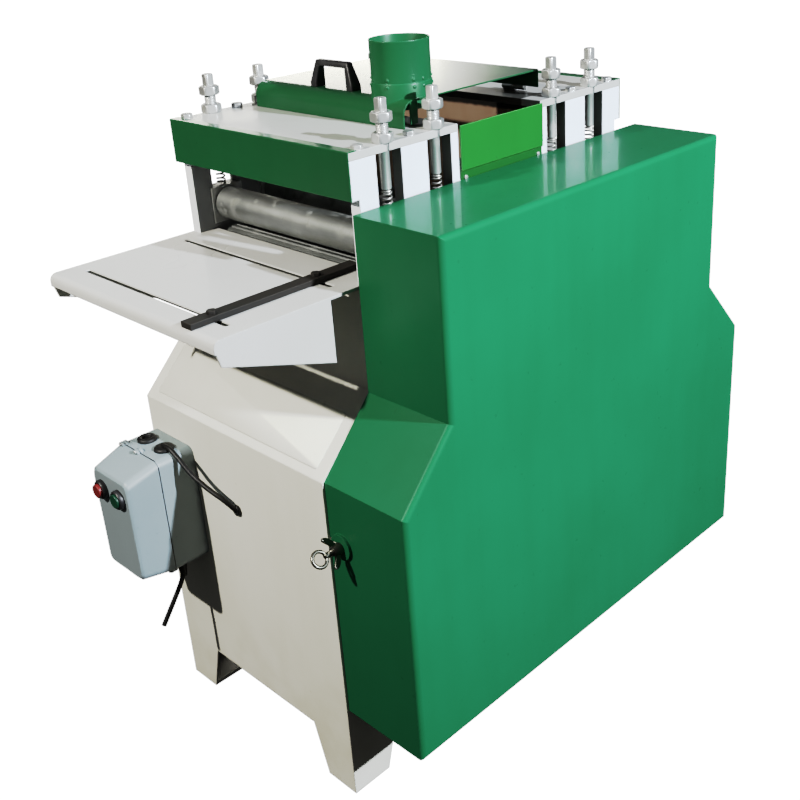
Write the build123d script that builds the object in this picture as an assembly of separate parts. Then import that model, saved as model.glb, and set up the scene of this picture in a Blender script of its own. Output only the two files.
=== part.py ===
from build123d import *
from math import acos, atan2, cos, hypot, pi, radians, sin, sqrt, tan
import os

# Multi-rip saw: a sheet-steel cabinet carries two thick side plates, four fluted feed rollers, four sprung
# pressure rollers and an arbor of rip blades between them, with the drive under a swing-off side guard.
# Millimetres. X points to the guard side, Y along the feed, Z up. The arbor line is Y = 0, the floor Z = 0.

# Fits and gaps shared by the pieces
running = 0.05
seat_gap = 0.3
thread_gap = 0.1
stud_sides = 12

# Sheet-steel cabinet on four tapered legs, with 45 degree shoulders up to a flat deck
cabinet_width = 498.0
cabinet_sheet = 4.0
deck_drop = 175.0
shoulder = 114.0
rear_margin = 40.0
arch_height = 102.0
foot_width = 72.0
foot_length = 80.0
leg_spread = 29.0
foot_plate = 6.0
rail_width = 40.0
rail_height = 15.0

# Welded waist channels that carry the tables in front of and behind the side plates
waist_return = 14.0

# Access hatch on the front shoulder, measured up the slope
hatch_width = 451.0
hatch_sheet = 3.0
hatch_start = 15.0
hatch_length = 100.0

# Side plates with open-topped slots for the pressure blocks
frame_inset = 4.0
frame_width = 458.0
side_plate = 20.0
frame_half = 317.0
tower_overhang = 14.0
tower_inset = 43.0
tower_rise = 190.0
cover_drop = 60.0
window_drop = 63.0
slot_width = 52.0
top_plate = 12.0
ledge = 12.0
tie_plate = 5.0
tie_depth = 111.0
chip_margin = 20.0

# Tables and bed
table_height = 923.0
table_sheet = 5.0
table_length = 280.0
table_roll = 12.0
table_lip = 20.0
skirt_sheet = 4.0
skirt_front = 41.0
skirt_rear = 106.0
skirt_gap = 72.0
skirt_setback = 9.0
fence_slot = 10.0
fence_slot_inset = 49.0
fence_slot_gap = 40.0
fence_slot_margin = 32.5
bed_thickness = 12.0
blade_slit = 8.0
slit_margin = 5.0
window_margin = 3.0

# Rip fence and its two clamp bolts
fence_width = 24.0
fence_height = 9.0
fence_offset = 70.5
fence_inset = 5.0
fence_gap = 24.0
fence_bolt = 8.0
fence_head = 13.0
fence_head_height = 5.5
fence_nut = 10.0
fence_nut_flats = 19.0

# Lower feed rollers: fluted, in flange bearings, chained together on the guard side
row_margin = 64.0
blade_clear = 35.0
feed_roller_d = 60.0
feed_lift = 2.0
feed_end_gap = 14.0
feed_shaft = 25.0
feed_hole = 34.0
flutes = 16
flute_depth = 2.5
window_trim = 2.0
bearing_square = 58.0
bearing_flange = 10.0
bearing_boss = 44.0
bearing_depth = 24.0

# Upper pressure rollers in sprung blocks that slide in the side-plate slots
throat = 13.0
press_roller_d = 58.0
press_end_gap = 7.5
press_shaft = 20.0
block_height = 64.0
block_flange = 4.0
block_overlap = 7.0

# Pressure screws, their nuts and their springs
screw_d = 20.0
screw_stem = 15.0
screw_foot = 60.0
screw_flat = 15.0
nut_flats = 30.0
lock_nut = 15.0
top_nut = 15.0
nut_spacing = 16.0
screw_end = 20.0
spring_wire = 3.0
spring_mean = 14.0
spring_turns = 8
end_pitch = 3.7

# Top plate bolts
bolt_d = 10.0
bolt_flats = 17.0
bolt_head = 7.0
bolt_depth = 25.0

# Folded covers
cover_sheet = 2.0
cover_flange = 16.0
side_sheet = 2.5
side_cover_flange = 16.0
side_cover_rise = 9.0
side_cover_step = 3.0

# Saw arbor, blades and spacers
arbor_drop = 61.0
arbor_d = 50.0
journal_d = 45.0
drive_end_d = 40.0
blade_d = 220.0
blade_plate = 3.2
blade_count = 6
blade_pitch = 50.0
blade_teeth = 20
tooth_depth = 9.0
spacer_d = 72.0
end_spacer = 36.9
collar_d = 84.0
collar = 12.0
arbor_nut_flats = 75.0
arbor_nut = 25.0
arbor_hole = 80.0
arbor_square = 120.0
arbor_flange = 12.0
arbor_boss = 90.0
arbor_depth = 28.0

# V-belt drive from the motor in the cabinet
belt_count = 3
belt_pitch = 19.0
belt_top = 13.0
belt_bottom = 8.0
belt_height = 8.0
belt_clear = 0.6
arbor_pulley_d = 126.0
motor_pulley_d = 170.0
pulley_margin = 12.0
pulley_start = 61.0
motor_y = 20.0
motor_z = 310.0
motor_d = 200.0
motor_length = 270.0
motor_foot = 15.0
motor_foot_plate = 12.0
motor_foot_margin = 30.0
motor_shaft = 42.0
motor_bell = 140.0
motor_nose = 40.0
motor_bore = 60.0
motor_bore_end = 10.0
cowl_length = 45.0
terminal_box = 90.0
terminal_rise = 144.0
shaft_slot = 60.0

# Feed chain drive
chain_pitch = 15.875
chain_roller = 10.16
chain_plate = 1.6
chain_height = 14.0
chain_gap = 9.6
sprocket_teeth = 12
sprocket_width = 8.6
sprocket_hub = 36.0
chain_first = 8.5
chain_step = 18.0
gear_y = 0.0
gear_drop = 128.0
gear_box = 120.0
gear_depth = 110.0
gear_motor_d = 116.0
gear_motor_length = 170.0
gear_hole = 44.0

# Swing-off guard over the belts and chains
guard_width = 179.0
guard_sheet = 2.5
guard_bottom = 185.0
guard_rise = 112.0
guard_inset = 4.0
guard_overhang = 5.0
guard_radius = 9.0
latch_x = 29.5
latch_drop = 104.0
latch_bolt = 10.0
latch_slot = 12.0
latch_boss = 44.0
latch_boss_height = 5.0
latch_tab = 5.0
latch_tab_height = 36.0
latch_tab_gap = 2.0
latch_nut = 8.0
latch_nut_flats = 17.0
ring_mean = 21.0
ring_wire = 7.0
shank_sink = 1.4
wing_hub = 20.0
wing_hub_length = 16.0
wing_span = 54.0
wing_length = 25.0
wing_thick = 5.0
wing_slope = 6.0
wing_end = 8.0
wing_turn = 56.0
hinge_rise = 85.0
hinge_drop = 74.0
hinge_knuckle = 13.0
hinge_pin = 7.0
hinge_leaf = 3.0
hinge_length = 26.0
hinge_leaf_width = 36.0

# Hinged dust hood on the top plates, with its duct collar and bridge handle
hood_margin = 42.0
hood_sheet = 2.5
hood_front = 178.0
hood_rear = 150.0
hood_height = 43.0
hood_bend = 24.0
hood_back_drop = 31.0
baffle_gap = 31.0
baffle_clear = 4.0
baffle_inset = 2.0
baffle_return = 13.0
duct_inset = 53.5
duct_setback = 52.0
duct_d = 96.0
duct_wall = 2.0
duct_rise = 87.0
collar_rise = 22.0
duct_collar = 1.5
handle_offset = -4.5
handle_setback = 31.0
handle_length = 106.0
handle_depth = 22.0
handle_top_depth = 12.0
handle_rise = 45.0
handle_foot = 16.0
handle_foot_height = 8.0
handle_slant = 13.0
handle_inner_slant = 5.0
handle_grip = 10.0
handle_corner = 6.0
hood_knuckle = 10.0
hood_pin = 5.0
hood_leaf = 3.0
hood_leaf_width = 26.0
leaf_drop = 6.0
hood_hinge_spread = 125.0
hood_axis_rise = 7.0
hood_hinge_length = 26.0

# Push-button starter on the front wall
starter_inset = 67.5
starter_drop = 178.0
starter_width = 126.0
starter_height = 228.0
starter_base_depth = 72.0
starter_cover_depth = 64.0
starter_front_width = 114.0
starter_front_height = 198.0
starter_front_drop = 5.0
starter_corner = 14.0
starter_edge = 4.0
button_spread = 28.0
button_rise = 58.0
button_d = 26.0
button_gap = 0.5
button_length = 21.0
button_chamfer = 2.0
button_bore = 18.0
bezel_d = 36.0
bezel_depth = 9.0
stop_reach = 6.0
start_reach = 4.0
grommet_d = 36.0
grommet_top_d = 28.0
grommet_height = 7.0
grommet_bore = 16.0
grommet_reach = 36.0
gland_d = 22.0
gland_height = 14.0
gland_offset = 27.0
gland_reach = 40.0
cable_d = 9.0
bush_d = 20.0
bush_depth = 6.0

# Cable courses: the supply tail from the gland's end, the motor cable from the top of the right-hand grommet
tail_course = [
    (0, 0, 0),
    (0, 0, -22),
    (1, -11.5, -42),
    (1.5, -34, -72),
    (-1, -58, -109),
]
cable_course = [
    (-2, 0, -1.5),
    (10, -0.5, 4.5),
    (27, -1, 0),
    (72.7, 2, -32.8),
    (108, 12, -58),
    (143, 20.5, -68.5),
    (155.5, 26.5, -83),
    (154.5, 32.5, -90),
]

# Places worked out from the sizes above
half_width = (cabinet_width + guard_width) / 2
deck_height = table_height - deck_drop
outer_row = frame_half - row_margin
inner_row = blade_d / 2 + blade_clear
cabinet_left = -half_width
cabinet_right = cabinet_left + cabinet_width
cabinet_mid = (cabinet_left + cabinet_right) / 2
guard_inner = cabinet_right + seat_gap
frame_right = cabinet_right - frame_inset
frame_left = frame_right - frame_width
frame_mid = (frame_left + frame_right) / 2
inner_left = frame_left + side_plate
inner_right = frame_right - side_plate
screw_xs = (frame_left + side_plate / 2, frame_right - side_plate / 2)
tower_half = frame_half + tower_overhang
tower_gap = inner_row - tower_inset
tower_height = table_height + tower_rise
cover_bottom = tower_height - cover_drop
window_bottom = tower_height - window_drop
tie_bottom = tower_height - tie_depth
deck_front = frame_half + waist_return
deck_rear = deck_front + rear_margin
cabinet_front = deck_front + shoulder
cabinet_rear = deck_rear + shoulder
shoulder_height = deck_height - shoulder
cabinet_mid_y = (cabinet_rear - cabinet_front) / 2
cabinet_half_y = (cabinet_rear + cabinet_front) / 2
row_ys = (-outer_row, -inner_row, inner_row, outer_row)
roller_gap = feed_roller_d / 2 - window_trim
table_reach = frame_half + table_length
table_tongue = outer_row + roller_gap
bed_half = outer_row - roller_gap
skirt_end = frame_half + skirt_gap
fence_slot_front = table_reach - fence_slot_inset
fence_slot_rear = frame_half + fence_slot_gap
fence_x = frame_right - fence_offset
fence_front = table_reach - fence_inset
fence_rear = outer_row + fence_gap
feed_z = table_height + feed_lift - feed_roller_d / 2
press_z = table_height + throat + press_roller_d / 2
arbor_z = table_height - arbor_drop
slot_bottom = press_z - block_height / 2 - seat_gap
lid_z = tower_height + top_plate
side_cover_top = tower_height + side_cover_rise
screw_bottom = tower_height - screw_foot
bed_bottom = table_height - bed_thickness
sprocket_radius = chain_pitch / (2 * sin(pi / sprocket_teeth))
first_chain_x = frame_right + bearing_depth + chain_first
chain_x = (first_chain_x, first_chain_x + chain_step)
pulley_x = cabinet_right + pulley_start
pulley_length = (belt_count - 1) * belt_pitch + 2 * pulley_margin
guard_top = table_height + guard_rise
guard_front = cabinet_front - guard_inset
guard_rear = cabinet_rear - guard_inset
latch_bolt_x = cabinet_right + latch_x
latch_z = shoulder_height - latch_drop
hinge_z = (guard_bottom + hinge_rise, shoulder_height - hinge_drop)
gear_z = deck_height - gear_drop
tab_y = -guard_front + guard_sheet + latch_tab_gap
hinge_y = cabinet_rear + hinge_knuckle / 2 + seat_gap
hinge_x = (cabinet_right + guard_inner) / 2
hood_width = frame_width - 2 * hood_margin
hood_left = frame_mid - hood_width / 2
hood_right = frame_mid + hood_width / 2
hood_bottom = lid_z + seat_gap
hood_top = lid_z + hood_height
hood_axis_y = hood_rear + hood_leaf + hood_knuckle / 2
hood_axis_z = lid_z + hood_axis_rise
hood_hinge_x = (frame_mid - hood_hinge_spread, frame_mid + hood_hinge_spread)
baffle_y = hood_front - baffle_gap
duct_x = hood_right - duct_inset
duct_y = duct_setback - hood_front
duct_top = hood_top + duct_rise
collar_top = hood_top + collar_rise
handle_x = frame_mid + handle_offset
handle_y = handle_setback - hood_front
starter_x = cabinet_left + starter_inset
starter_z = shoulder_height - starter_drop
button_z = starter_z + button_rise
starter_back = -cabinet_front
starter_split = starter_back - starter_base_depth
starter_face = starter_split - starter_cover_depth
grommet_y = starter_back - grommet_reach
motor_right = cabinet_right - cabinet_sheet - motor_nose


def block(x0, x1, y0, y1, z0, z1):
    return Pos((x0 + x1) / 2, (y0 + y1) / 2, (z0 + z1) / 2) * Box(x1 - x0, y1 - y0, z1 - z0)


def rod_x(d, x0, x1, y, z):
    return Pos((x0 + x1) / 2, y, z) * Rot(0, 90, 0) * Cylinder(d / 2, x1 - x0)


def rod_y(d, y0, y1, x, z):
    return Pos(x, (y0 + y1) / 2, z) * Rot(90, 0, 0) * Cylinder(d / 2, y1 - y0)


def rod_z(d, z0, z1, x, y):
    return Pos(x, y, (z0 + z1) / 2) * Cylinder(d / 2, z1 - z0)


def prism_x(outline, x0, x1):
    return extrude(make_face(Polyline(*[(x0, y, z) for y, z in outline], close=True)), x1 - x0, dir=(1, 0, 0))


def prism_y(outline, y0, y1):
    return extrude(make_face(Polyline(*[(x, y0, z) for x, z in outline], close=True)), y1 - y0, dir=(0, 1, 0))


def prism_z(outline, z0, z1):
    return extrude(make_face(Polyline(*[(x, y, z0) for x, y in outline], close=True)), z1 - z0, dir=(0, 0, 1))


def quarter_bend(x, y, z, radius):
    # Quarter circle from straight above the centre round to its front
    diagonal = radius / sqrt(2)
    return ThreePointArc((x, y, z + radius), (x, y - diagonal, z + diagonal), (x, y - radius, z))


def stud(d, z0, z1, x, y):
    # Shank or hole of a repeated fastener, drawn with few faces
    return Pos(x, y, z0) * extrude(RegularPolygon(d / 2, stud_sides, major_radius=False), z1 - z0)


def hexagon(flats, height, bore):
    body = extrude(RegularPolygon(flats / 2, 6, major_radius=False), height)
    if bore:
        body -= stud(bore, -1, height + 1, 0, 0)
    return body


def save(name, *pieces):
    solids = [solid for piece in pieces for solid in piece.solids()]
    shape = solids[0] if len(solids) == 1 else Compound(solids)
    shape.label = name
    export_step(shape, f"parts/{name}.step")


def cabinet_outline(drawn_in):
    corner = drawn_in * (sqrt(2) - 1)
    return [
        (-cabinet_front + drawn_in, 0),
        (-cabinet_front + drawn_in, shoulder_height - corner),
        (-deck_front + corner, deck_height - drawn_in),
        (deck_rear - corner, deck_height - drawn_in),
        (cabinet_rear - drawn_in, shoulder_height - corner),
        (cabinet_rear - drawn_in, 0),
    ]


def leg_arch(middle, half, foot):
    # Trapezoid between two legs: the legs are narrow at the floor and widen up to the arch
    return [
        (middle - half + foot, -1),
        (middle - half + foot + leg_spread, arch_height),
        (middle + half - foot - leg_spread, arch_height),
        (middle + half - foot, -1),
    ]


# Base cabinet: bent sheet shell open to the floor, foot plates, motor rails, waist channels and the latch tab
cabinet = prism_x(cabinet_outline(0), cabinet_left, cabinet_right)
wall_right = cabinet_right - cabinet_sheet
cabinet -= prism_x(cabinet_outline(cabinet_sheet), cabinet_left + cabinet_sheet, wall_right)
cabinet -= prism_y(leg_arch(cabinet_mid, cabinet_width / 2, foot_width), -cabinet_front - 1, cabinet_rear + 1)
cabinet -= prism_x(leg_arch(cabinet_mid_y, cabinet_half_y, foot_length), cabinet_left - 1, cabinet_right + 1)
for x0 in (cabinet_left, cabinet_right - foot_width):
    for y0 in (-cabinet_front, cabinet_rear - foot_length):
        cabinet += block(x0, x0 + foot_width, y0, y0 + foot_length, 0, foot_plate)
rail_top = motor_z - motor_d / 2 - motor_foot
for side in (-1, 1):
    rail_y = motor_y + side * motor_d * 0.45
    cabinet += block(
        cabinet_left + cabinet_sheet,
        wall_right,
        rail_y - rail_width / 2,
        rail_y + rail_width / 2,
        rail_top - rail_height,
        rail_top,
    )
table_bottom = table_height - table_sheet
for side in (-1, 1):
    waist = block(frame_left, frame_right, frame_half, deck_front, deck_height, table_bottom)
    waist -= block(
        frame_left + cabinet_sheet,
        frame_right - cabinet_sheet,
        frame_half - 1,
        deck_front - cabinet_sheet,
        deck_height,
        table_bottom + 1,
    )
    cabinet += waist if side > 0 else mirror(waist, about=Plane.XZ)
chip_half = blade_d / 2 + chip_margin
cabinet -= block(
    inner_left + chip_margin,
    inner_right - chip_margin,
    -chip_half,
    chip_half,
    deck_height - cabinet_sheet - 1,
    deck_height + 1,
)
cabinet -= rod_x(gear_hole, wall_right - 1, cabinet_right + 1, gear_y, gear_z)
cabinet -= rod_x(shaft_slot, wall_right - 1, cabinet_right + 1, motor_y, motor_z)
cabinet += block(
    cabinet_right,
    latch_bolt_x + latch_bolt + seat_gap,
    tab_y,
    tab_y + latch_tab,
    latch_z - latch_tab_height / 2,
    latch_z + latch_tab_height / 2,
)
cabinet -= rod_y(latch_bolt + 2 * thread_gap, tab_y - 1, tab_y + latch_tab + 1, latch_bolt_x, latch_z)
save("base_cabinet", cabinet)

# Access hatch: flat plate lying on the front shoulder
slope = 1 / sqrt(2)
hatch_outline = [
    (
        -cabinet_front + slope * (along - out),
        shoulder_height + slope * (along + out),
    )
    for along, out in (
        (hatch_start, 0),
        (hatch_start + hatch_length, 0),
        (hatch_start + hatch_length, hatch_sheet),
        (hatch_start, hatch_sheet),
    )
]
save("access_hatch", prism_x(hatch_outline, cabinet_mid - hatch_width / 2, cabinet_mid + hatch_width / 2))


def table(slots):
    # Folded table: plate with a rolled front edge, tapering side skirts and a tongue between the side plates
    roll_y = -table_reach + table_roll
    roll_z = table_height - table_roll
    inner_roll = table_roll - table_sheet
    lip_z = table_height - table_lip
    outline = [
        Line((0, -frame_half, table_height), (0, roll_y, table_height)),
        quarter_bend(0, roll_y, roll_z, table_roll),
        Line((0, -table_reach, roll_z), (0, -table_reach, lip_z)),
        Line((0, -table_reach, lip_z), (0, -table_reach + table_sheet, lip_z)),
        Line((0, -table_reach + table_sheet, lip_z), (0, -table_reach + table_sheet, roll_z)),
        quarter_bend(0, roll_y, roll_z, inner_roll),
        Line((0, roll_y, table_bottom), (0, -frame_half, table_bottom)),
        Line((0, -frame_half, table_bottom), (0, -frame_half, table_height)),
    ]
    plate = Pos(frame_left, 0, 0) * extrude(make_face(outline), frame_width, dir=(1, 0, 0))
    skirt = [
        (-table_reach + table_sheet / 2, table_bottom + 1),
        (-table_reach + table_sheet / 2, lip_z),
        (-table_reach + skirt_setback, table_height - skirt_front),
        (-skirt_end, table_height - skirt_rear),
        (-skirt_end, table_bottom + 1),
    ]
    for x0 in (frame_left, frame_right - skirt_sheet):
        plate += prism_x(skirt, x0, x0 + skirt_sheet) & block(
            frame_left, frame_right, -table_reach + table_sheet / 2, 0, 0, table_bottom + 1
        )
    plate += block(
        inner_left + seat_gap,
        inner_right - seat_gap,
        -frame_half - 1,
        -table_tongue,
        table_bottom,
        table_height,
    )
    for y in slots:
        length = frame_width - 2 * fence_slot_margin
        slot = Pos(frame_mid, -y, table_bottom - 1) * SlotOverall(length, fence_slot)
        plate -= extrude(slot, table_sheet + 2)
    return plate


save("infeed_table", table((fence_slot_front, fence_slot_rear)))
save("outfeed_table", mirror(table(()), about=Plane.XZ))

# Bed plate between the side plates, with windows for the inner feed rollers and a slit for each blade
feed_left = inner_left + feed_end_gap
feed_right = inner_right - feed_end_gap
blade_xs = [frame_mid + (i - (blade_count - 1) / 2) * blade_pitch for i in range(blade_count)]
bed = block(inner_left + seat_gap, inner_right - seat_gap, -bed_half, bed_half, bed_bottom, table_height)
for y in (-inner_row, inner_row):
    bed -= block(
        feed_left - window_margin,
        feed_right + window_margin,
        y - roller_gap,
        y + roller_gap,
        bed_bottom - 1,
        table_height + 1,
    )
slit_half = sqrt((blade_d / 2) ** 2 - (arbor_drop - bed_thickness) ** 2) + slit_margin
for x in blade_xs:
    slit = (x - blade_slit / 2, x + blade_slit / 2)
    bed -= block(*slit, -slit_half, slit_half, bed_bottom - 1, table_height + 1)
save("bed_plate", bed)

# Side plates: stepped outline with two towers, open slots for the pressure blocks and a welded bed ledge
tower_right_half = [
    (frame_half, deck_height),
    (frame_half, cover_bottom),
    (tower_half, cover_bottom),
    (tower_half, tower_height),
    (tower_gap, tower_height),
    (tower_gap, window_bottom),
]
plate_outline = tower_right_half + [(-y, z) for y, z in reversed(tower_right_half)]
bolt_ys = [
    side * y
    for side in (-1, 1)
    for y in ((tower_half + outer_row + slot_width / 2) / 2, (outer_row + inner_row) / 2)
]


def side_wall(x0, ledge_x):
    wall = prism_x(plate_outline, x0, x0 + side_plate)
    for y in row_ys:
        wall -= block(x0 - 1, x0 + side_plate + 1, y - slot_width / 2, y + slot_width / 2, slot_bottom, lid_z)
        wall -= rod_x(feed_hole, x0 - 1, x0 + side_plate + 1, y, feed_z)
    wall -= rod_x(arbor_hole, x0 - 1, x0 + side_plate + 1, 0, arbor_z)
    for y in bolt_ys:
        wall -= stud(bolt_d + 2 * thread_gap, tower_height - bolt_depth, lid_z, x0 + side_plate / 2, y)
    ledge_half = inner_row - roller_gap - ledge
    wall += block(ledge_x, ledge_x + ledge, -ledge_half, ledge_half, bed_bottom - ledge, bed_bottom)
    return wall


save("side_plate_right", side_wall(frame_right - side_plate, inner_right - ledge))
save("side_plate_left", side_wall(frame_left, inner_left))

# Top plates across each pair of towers, drilled for the pressure screws and the bolts that hold them down
front_lid = block(frame_left, frame_right, -tower_half, -tower_gap, tower_height, lid_z)
for x in screw_xs:
    for y in row_ys[:2]:
        front_lid -= stud(screw_d + 2 * thread_gap, tower_height - 1, lid_z + 1, x, y)
    for y in bolt_ys[:2]:
        front_lid -= stud(bolt_d + 2 * thread_gap, tower_height - 1, lid_z + 1, x, y)
save("top_plates", front_lid, mirror(front_lid, about=Plane.XZ))

bolt = Pos(0, 0, lid_z) * hexagon(bolt_flats, bolt_head, 0)
bolt += stud(bolt_d, tower_height - bolt_depth + 1, lid_z + 1, 0, 0)
save("top_plate_bolts", *[Pos(x, y, 0) * bolt for x in screw_xs for y in bolt_ys])

# Tie plates across the frame, closing the blade chamber under the inner edges of the top plates
tie = block(
    inner_left + seat_gap, inner_right - seat_gap, tower_gap, tower_gap + tie_plate, tie_bottom, tower_height
)
save("tie_plates", tie, mirror(tie, about=Plane.XZ))

# Folded covers on both ends of the frame: face in front of the towers, short flange over the top plate
cover_top = lid_z + cover_sheet
end_cover = block(frame_left, frame_right, tower_half, tower_half + cover_sheet, cover_bottom, cover_top)
end_cover += block(
    frame_left, frame_right, tower_half - cover_flange, tower_half + cover_sheet, lid_z, cover_top
)
cover_edges = end_cover.edges().filter_by(Axis.X).group_by(Axis.Z)[-1].sort_by(Axis.Y)
end_cover = fillet(cover_edges[-1], cover_sheet * 0.9)
save("end_covers", mirror(end_cover, about=Plane.XZ), end_cover)

# Side covers between the towers: joggled sheet screwed low on the side plate, standing proud above
side_bottom = window_bottom - side_cover_flange
joggle = [
    (0, side_bottom),
    (side_sheet, side_bottom),
    (side_sheet, window_bottom - side_cover_step),
    (side_sheet + side_cover_step, window_bottom),
    (side_sheet + side_cover_step, side_cover_top),
    (side_cover_step, side_cover_top),
    (side_cover_step, window_bottom + 1),
    (0, window_bottom + 1 - side_cover_step),
]
side_half = tower_gap - seat_gap
right_cover = prism_y([(frame_right + x, z) for x, z in joggle], -side_half, side_half)
left_cover = prism_y([(frame_left - x, z) for x, z in joggle], -side_half, side_half)
save("side_covers", right_cover, left_cover)


def flange_bearing(face_x, outward, y, z, square, flange, boss, depth, bore):
    # Square flanged housing on the outside of a side plate, with a round boss and the shaft's bore
    ends = sorted((face_x, face_x + outward * flange))
    housing = block(*ends, y - square / 2, y + square / 2, z - square / 2, z + square / 2)
    ends = sorted((face_x, face_x + outward * depth))
    housing += rod_x(boss, *ends, y, z)
    housing -= rod_x(bore, ends[0] - 1, ends[1] + 1, y, z)
    return housing


bearings = []
for face_x, outward in ((frame_right, 1), (frame_left, -1)):
    for y in row_ys:
        bearings.append(
            flange_bearing(
                face_x,
                outward,
                y,
                feed_z,
                bearing_square,
                bearing_flange,
                bearing_boss,
                bearing_depth,
                feed_shaft + 2 * running,
            )
        )
    bearings.append(
        flange_bearing(
            face_x,
            outward,
            0,
            arbor_z,
            arbor_square,
            arbor_flange,
            arbor_boss,
            arbor_depth,
            journal_d + 2 * running,
        )
    )
save("shaft_bearings", *bearings)


def ring_of(count, steps):
    # Points of a toothed outline: each step is a share of one tooth and a radius
    return [
        (radius * cos(2 * pi * (i + share) / count), radius * sin(2 * pi * (i + share) / count))
        for i in range(count)
        for share, radius in steps
    ]


def toothed(count, steps, x0, x1, y, z):
    return prism_x([(y + a, z + b) for a, b in ring_of(count, steps)], x0, x1)


sprocket_tip = sprocket_radius + chain_roller * 0.45
sprocket_root = sprocket_radius - chain_roller / 2
sprocket_steps = ((0.0, sprocket_root), (0.3, sprocket_root), (0.55, sprocket_tip), (0.75, sprocket_tip))


def sprocket(x, y, z):
    return toothed(sprocket_teeth, sprocket_steps, x - sprocket_width / 2, x + sprocket_width / 2, y, z)


# Feed rollers: fluted barrel on a through shaft, with a sprocket for each chain that drives it
flute_steps = (
    (0.0, feed_roller_d / 2),
    (0.55, feed_roller_d / 2),
    (0.7, feed_roller_d / 2 - flute_depth),
    (0.85, feed_roller_d / 2 - flute_depth),
)
for number, y in enumerate(row_ys, 1):
    planes = chain_x if abs(y) == inner_row else chain_x[:1]
    shaft_end = planes[-1] + sprocket_width / 2 + 2
    roller = toothed(flutes, flute_steps, feed_left, feed_right, y, feed_z)
    roller += rod_x(feed_shaft, frame_left - bearing_depth, shaft_end, y, feed_z)
    roller += rod_x(sprocket_hub, frame_right + bearing_depth + seat_gap, shaft_end, y, feed_z)
    for x in planes:
        roller += sprocket(x, y, feed_z)
    save(f"feed_roller_{number}", roller)

# Pressure rollers: smooth barrels whose shaft ends turn in blocks that slide up the side-plate slots
press_left = inner_left + press_end_gap
press_right = inner_right - press_end_gap
block_bottom = press_z - block_height / 2
block_top = press_z + block_height / 2


def pressure_block(x, y):
    # Guide block: fills the slot, with a retaining flange on both faces of the side plate
    thick = side_plate / 2 + seat_gap + block_flange
    slide = slot_width / 2 - seat_gap
    outline = [
        (x - thick, y - slide - block_overlap),
        (x + thick, y - slide - block_overlap),
        (x + thick, y + slide + block_overlap),
        (x - thick, y + slide + block_overlap),
    ]
    body = prism_z(outline, block_bottom, block_top)
    for side in (-1, 1):
        groove = sorted((y + side * slide, y + side * (slide + block_overlap + 1)))
        groove_x = side_plate / 2 + seat_gap
        body -= block(x - groove_x, x + groove_x, *groove, block_bottom - 1, block_top + 1)
    body -= rod_x(press_shaft + 2 * running, x - thick - 1, x + thick + 1, y, press_z)
    return body


def biarc(start, start_dir, end, end_dir):
    # Two tangent arcs from one point and direction to another
    chord = end - start
    both = start_dir + end_dir
    spread = 2 * (1 - start_dir.dot(end_dir))
    reach = (sqrt(chord.dot(both) ** 2 + spread * chord.dot(chord)) - chord.dot(both)) / spread
    middle = (start + end + (start_dir - end_dir) * reach) * 0.5
    middle_dir = ((end - end_dir * reach) - (start + start_dir * reach)).normalized()
    first = TangentArc(start, middle, tangent=start_dir)
    return [first, TangentArc(middle, end, tangent=middle_dir)]


def coil(height):
    # Compression spring up the Z axis: nearly closed end turns, open turns between, in half-turn steps
    steps = 2 * spring_turns
    open_rise = (height - spring_wire - 2 * end_pitch) / (steps - 4)
    rises = [end_pitch / 2] * 2 + [open_rise] * (steps - 4) + [end_pitch / 2] * 2
    levels = [spring_wire / 2 + sum(rises[:k]) for k in range(steps + 1)]
    radius = spring_mean / 2
    knots = []
    for k, level in enumerate(levels):
        climb = (rises[max(k - 1, 0)] + rises[min(k, steps - 1)]) / 2
        side = 1 if k % 2 == 0 else -1
        heading = Vector(0, side * radius * pi, climb).normalized()
        knots.append((Vector(side * radius, 0, level), heading))
    edges = [e for (p, d), (q, f) in zip(knots, knots[1:]) for e in biarc(p, d, q, f)]
    section = Plane(origin=knots[0][0], z_dir=knots[0][1]) * RegularPolygon(spring_wire / 2, 4)
    print("spring gap", round(end_pitch - spring_wire, 2), "mm between end turns,")
    print("spring gap", round(2 * open_rise - spring_wire, 2), "mm between open turns")
    return sweep(section, path=Wire([edge.edge() for edge in edges]))


spring_bottom = block_top + seat_gap
spring = coil(screw_bottom - seat_gap - spring_bottom)
for number, y in enumerate(row_ys, 1):
    reach = side_plate / 2 + seat_gap + block_flange
    roller = rod_x(press_roller_d, press_left, press_right, y, press_z)
    roller += rod_x(press_shaft, screw_xs[0] - reach, screw_xs[1] + reach, y, press_z)
    save(f"pressure_roller_{number}", roller)
    save(f"pressure_blocks_{number}", *[pressure_block(x, y) for x in screw_xs])
    save(f"pressure_springs_{number}", *[Pos(x, y, spring_bottom) * spring for x in screw_xs])

# Pressure screws: smooth stem down the slot onto the spring, thread through the top plate, flatted end
lock_top = lid_z + lock_nut
nut_bottom = lock_top + nut_spacing
nut_top = nut_bottom + top_nut
screw = stud(screw_stem, screw_bottom, tower_height, 0, 0)
screw += stud(screw_d, tower_height, nut_top, 0, 0)
screw += Pos(0, 0, nut_top + screw_end / 2) * Box(screw_flat, screw_flat, screw_end)
save("pressure_screws", *[Pos(x, y, 0) * screw for x in screw_xs for y in row_ys])
nuts = [
    Pos(0, 0, lid_z) * hexagon(nut_flats, lock_nut, screw_d + 2 * thread_gap),
    Pos(0, 0, nut_bottom) * hexagon(nut_flats, top_nut, screw_d + 2 * thread_gap),
]
save("pressure_screw_nuts", *[Pos(x, y, 0) * nut for x in screw_xs for y in row_ys for nut in nuts])

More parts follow.
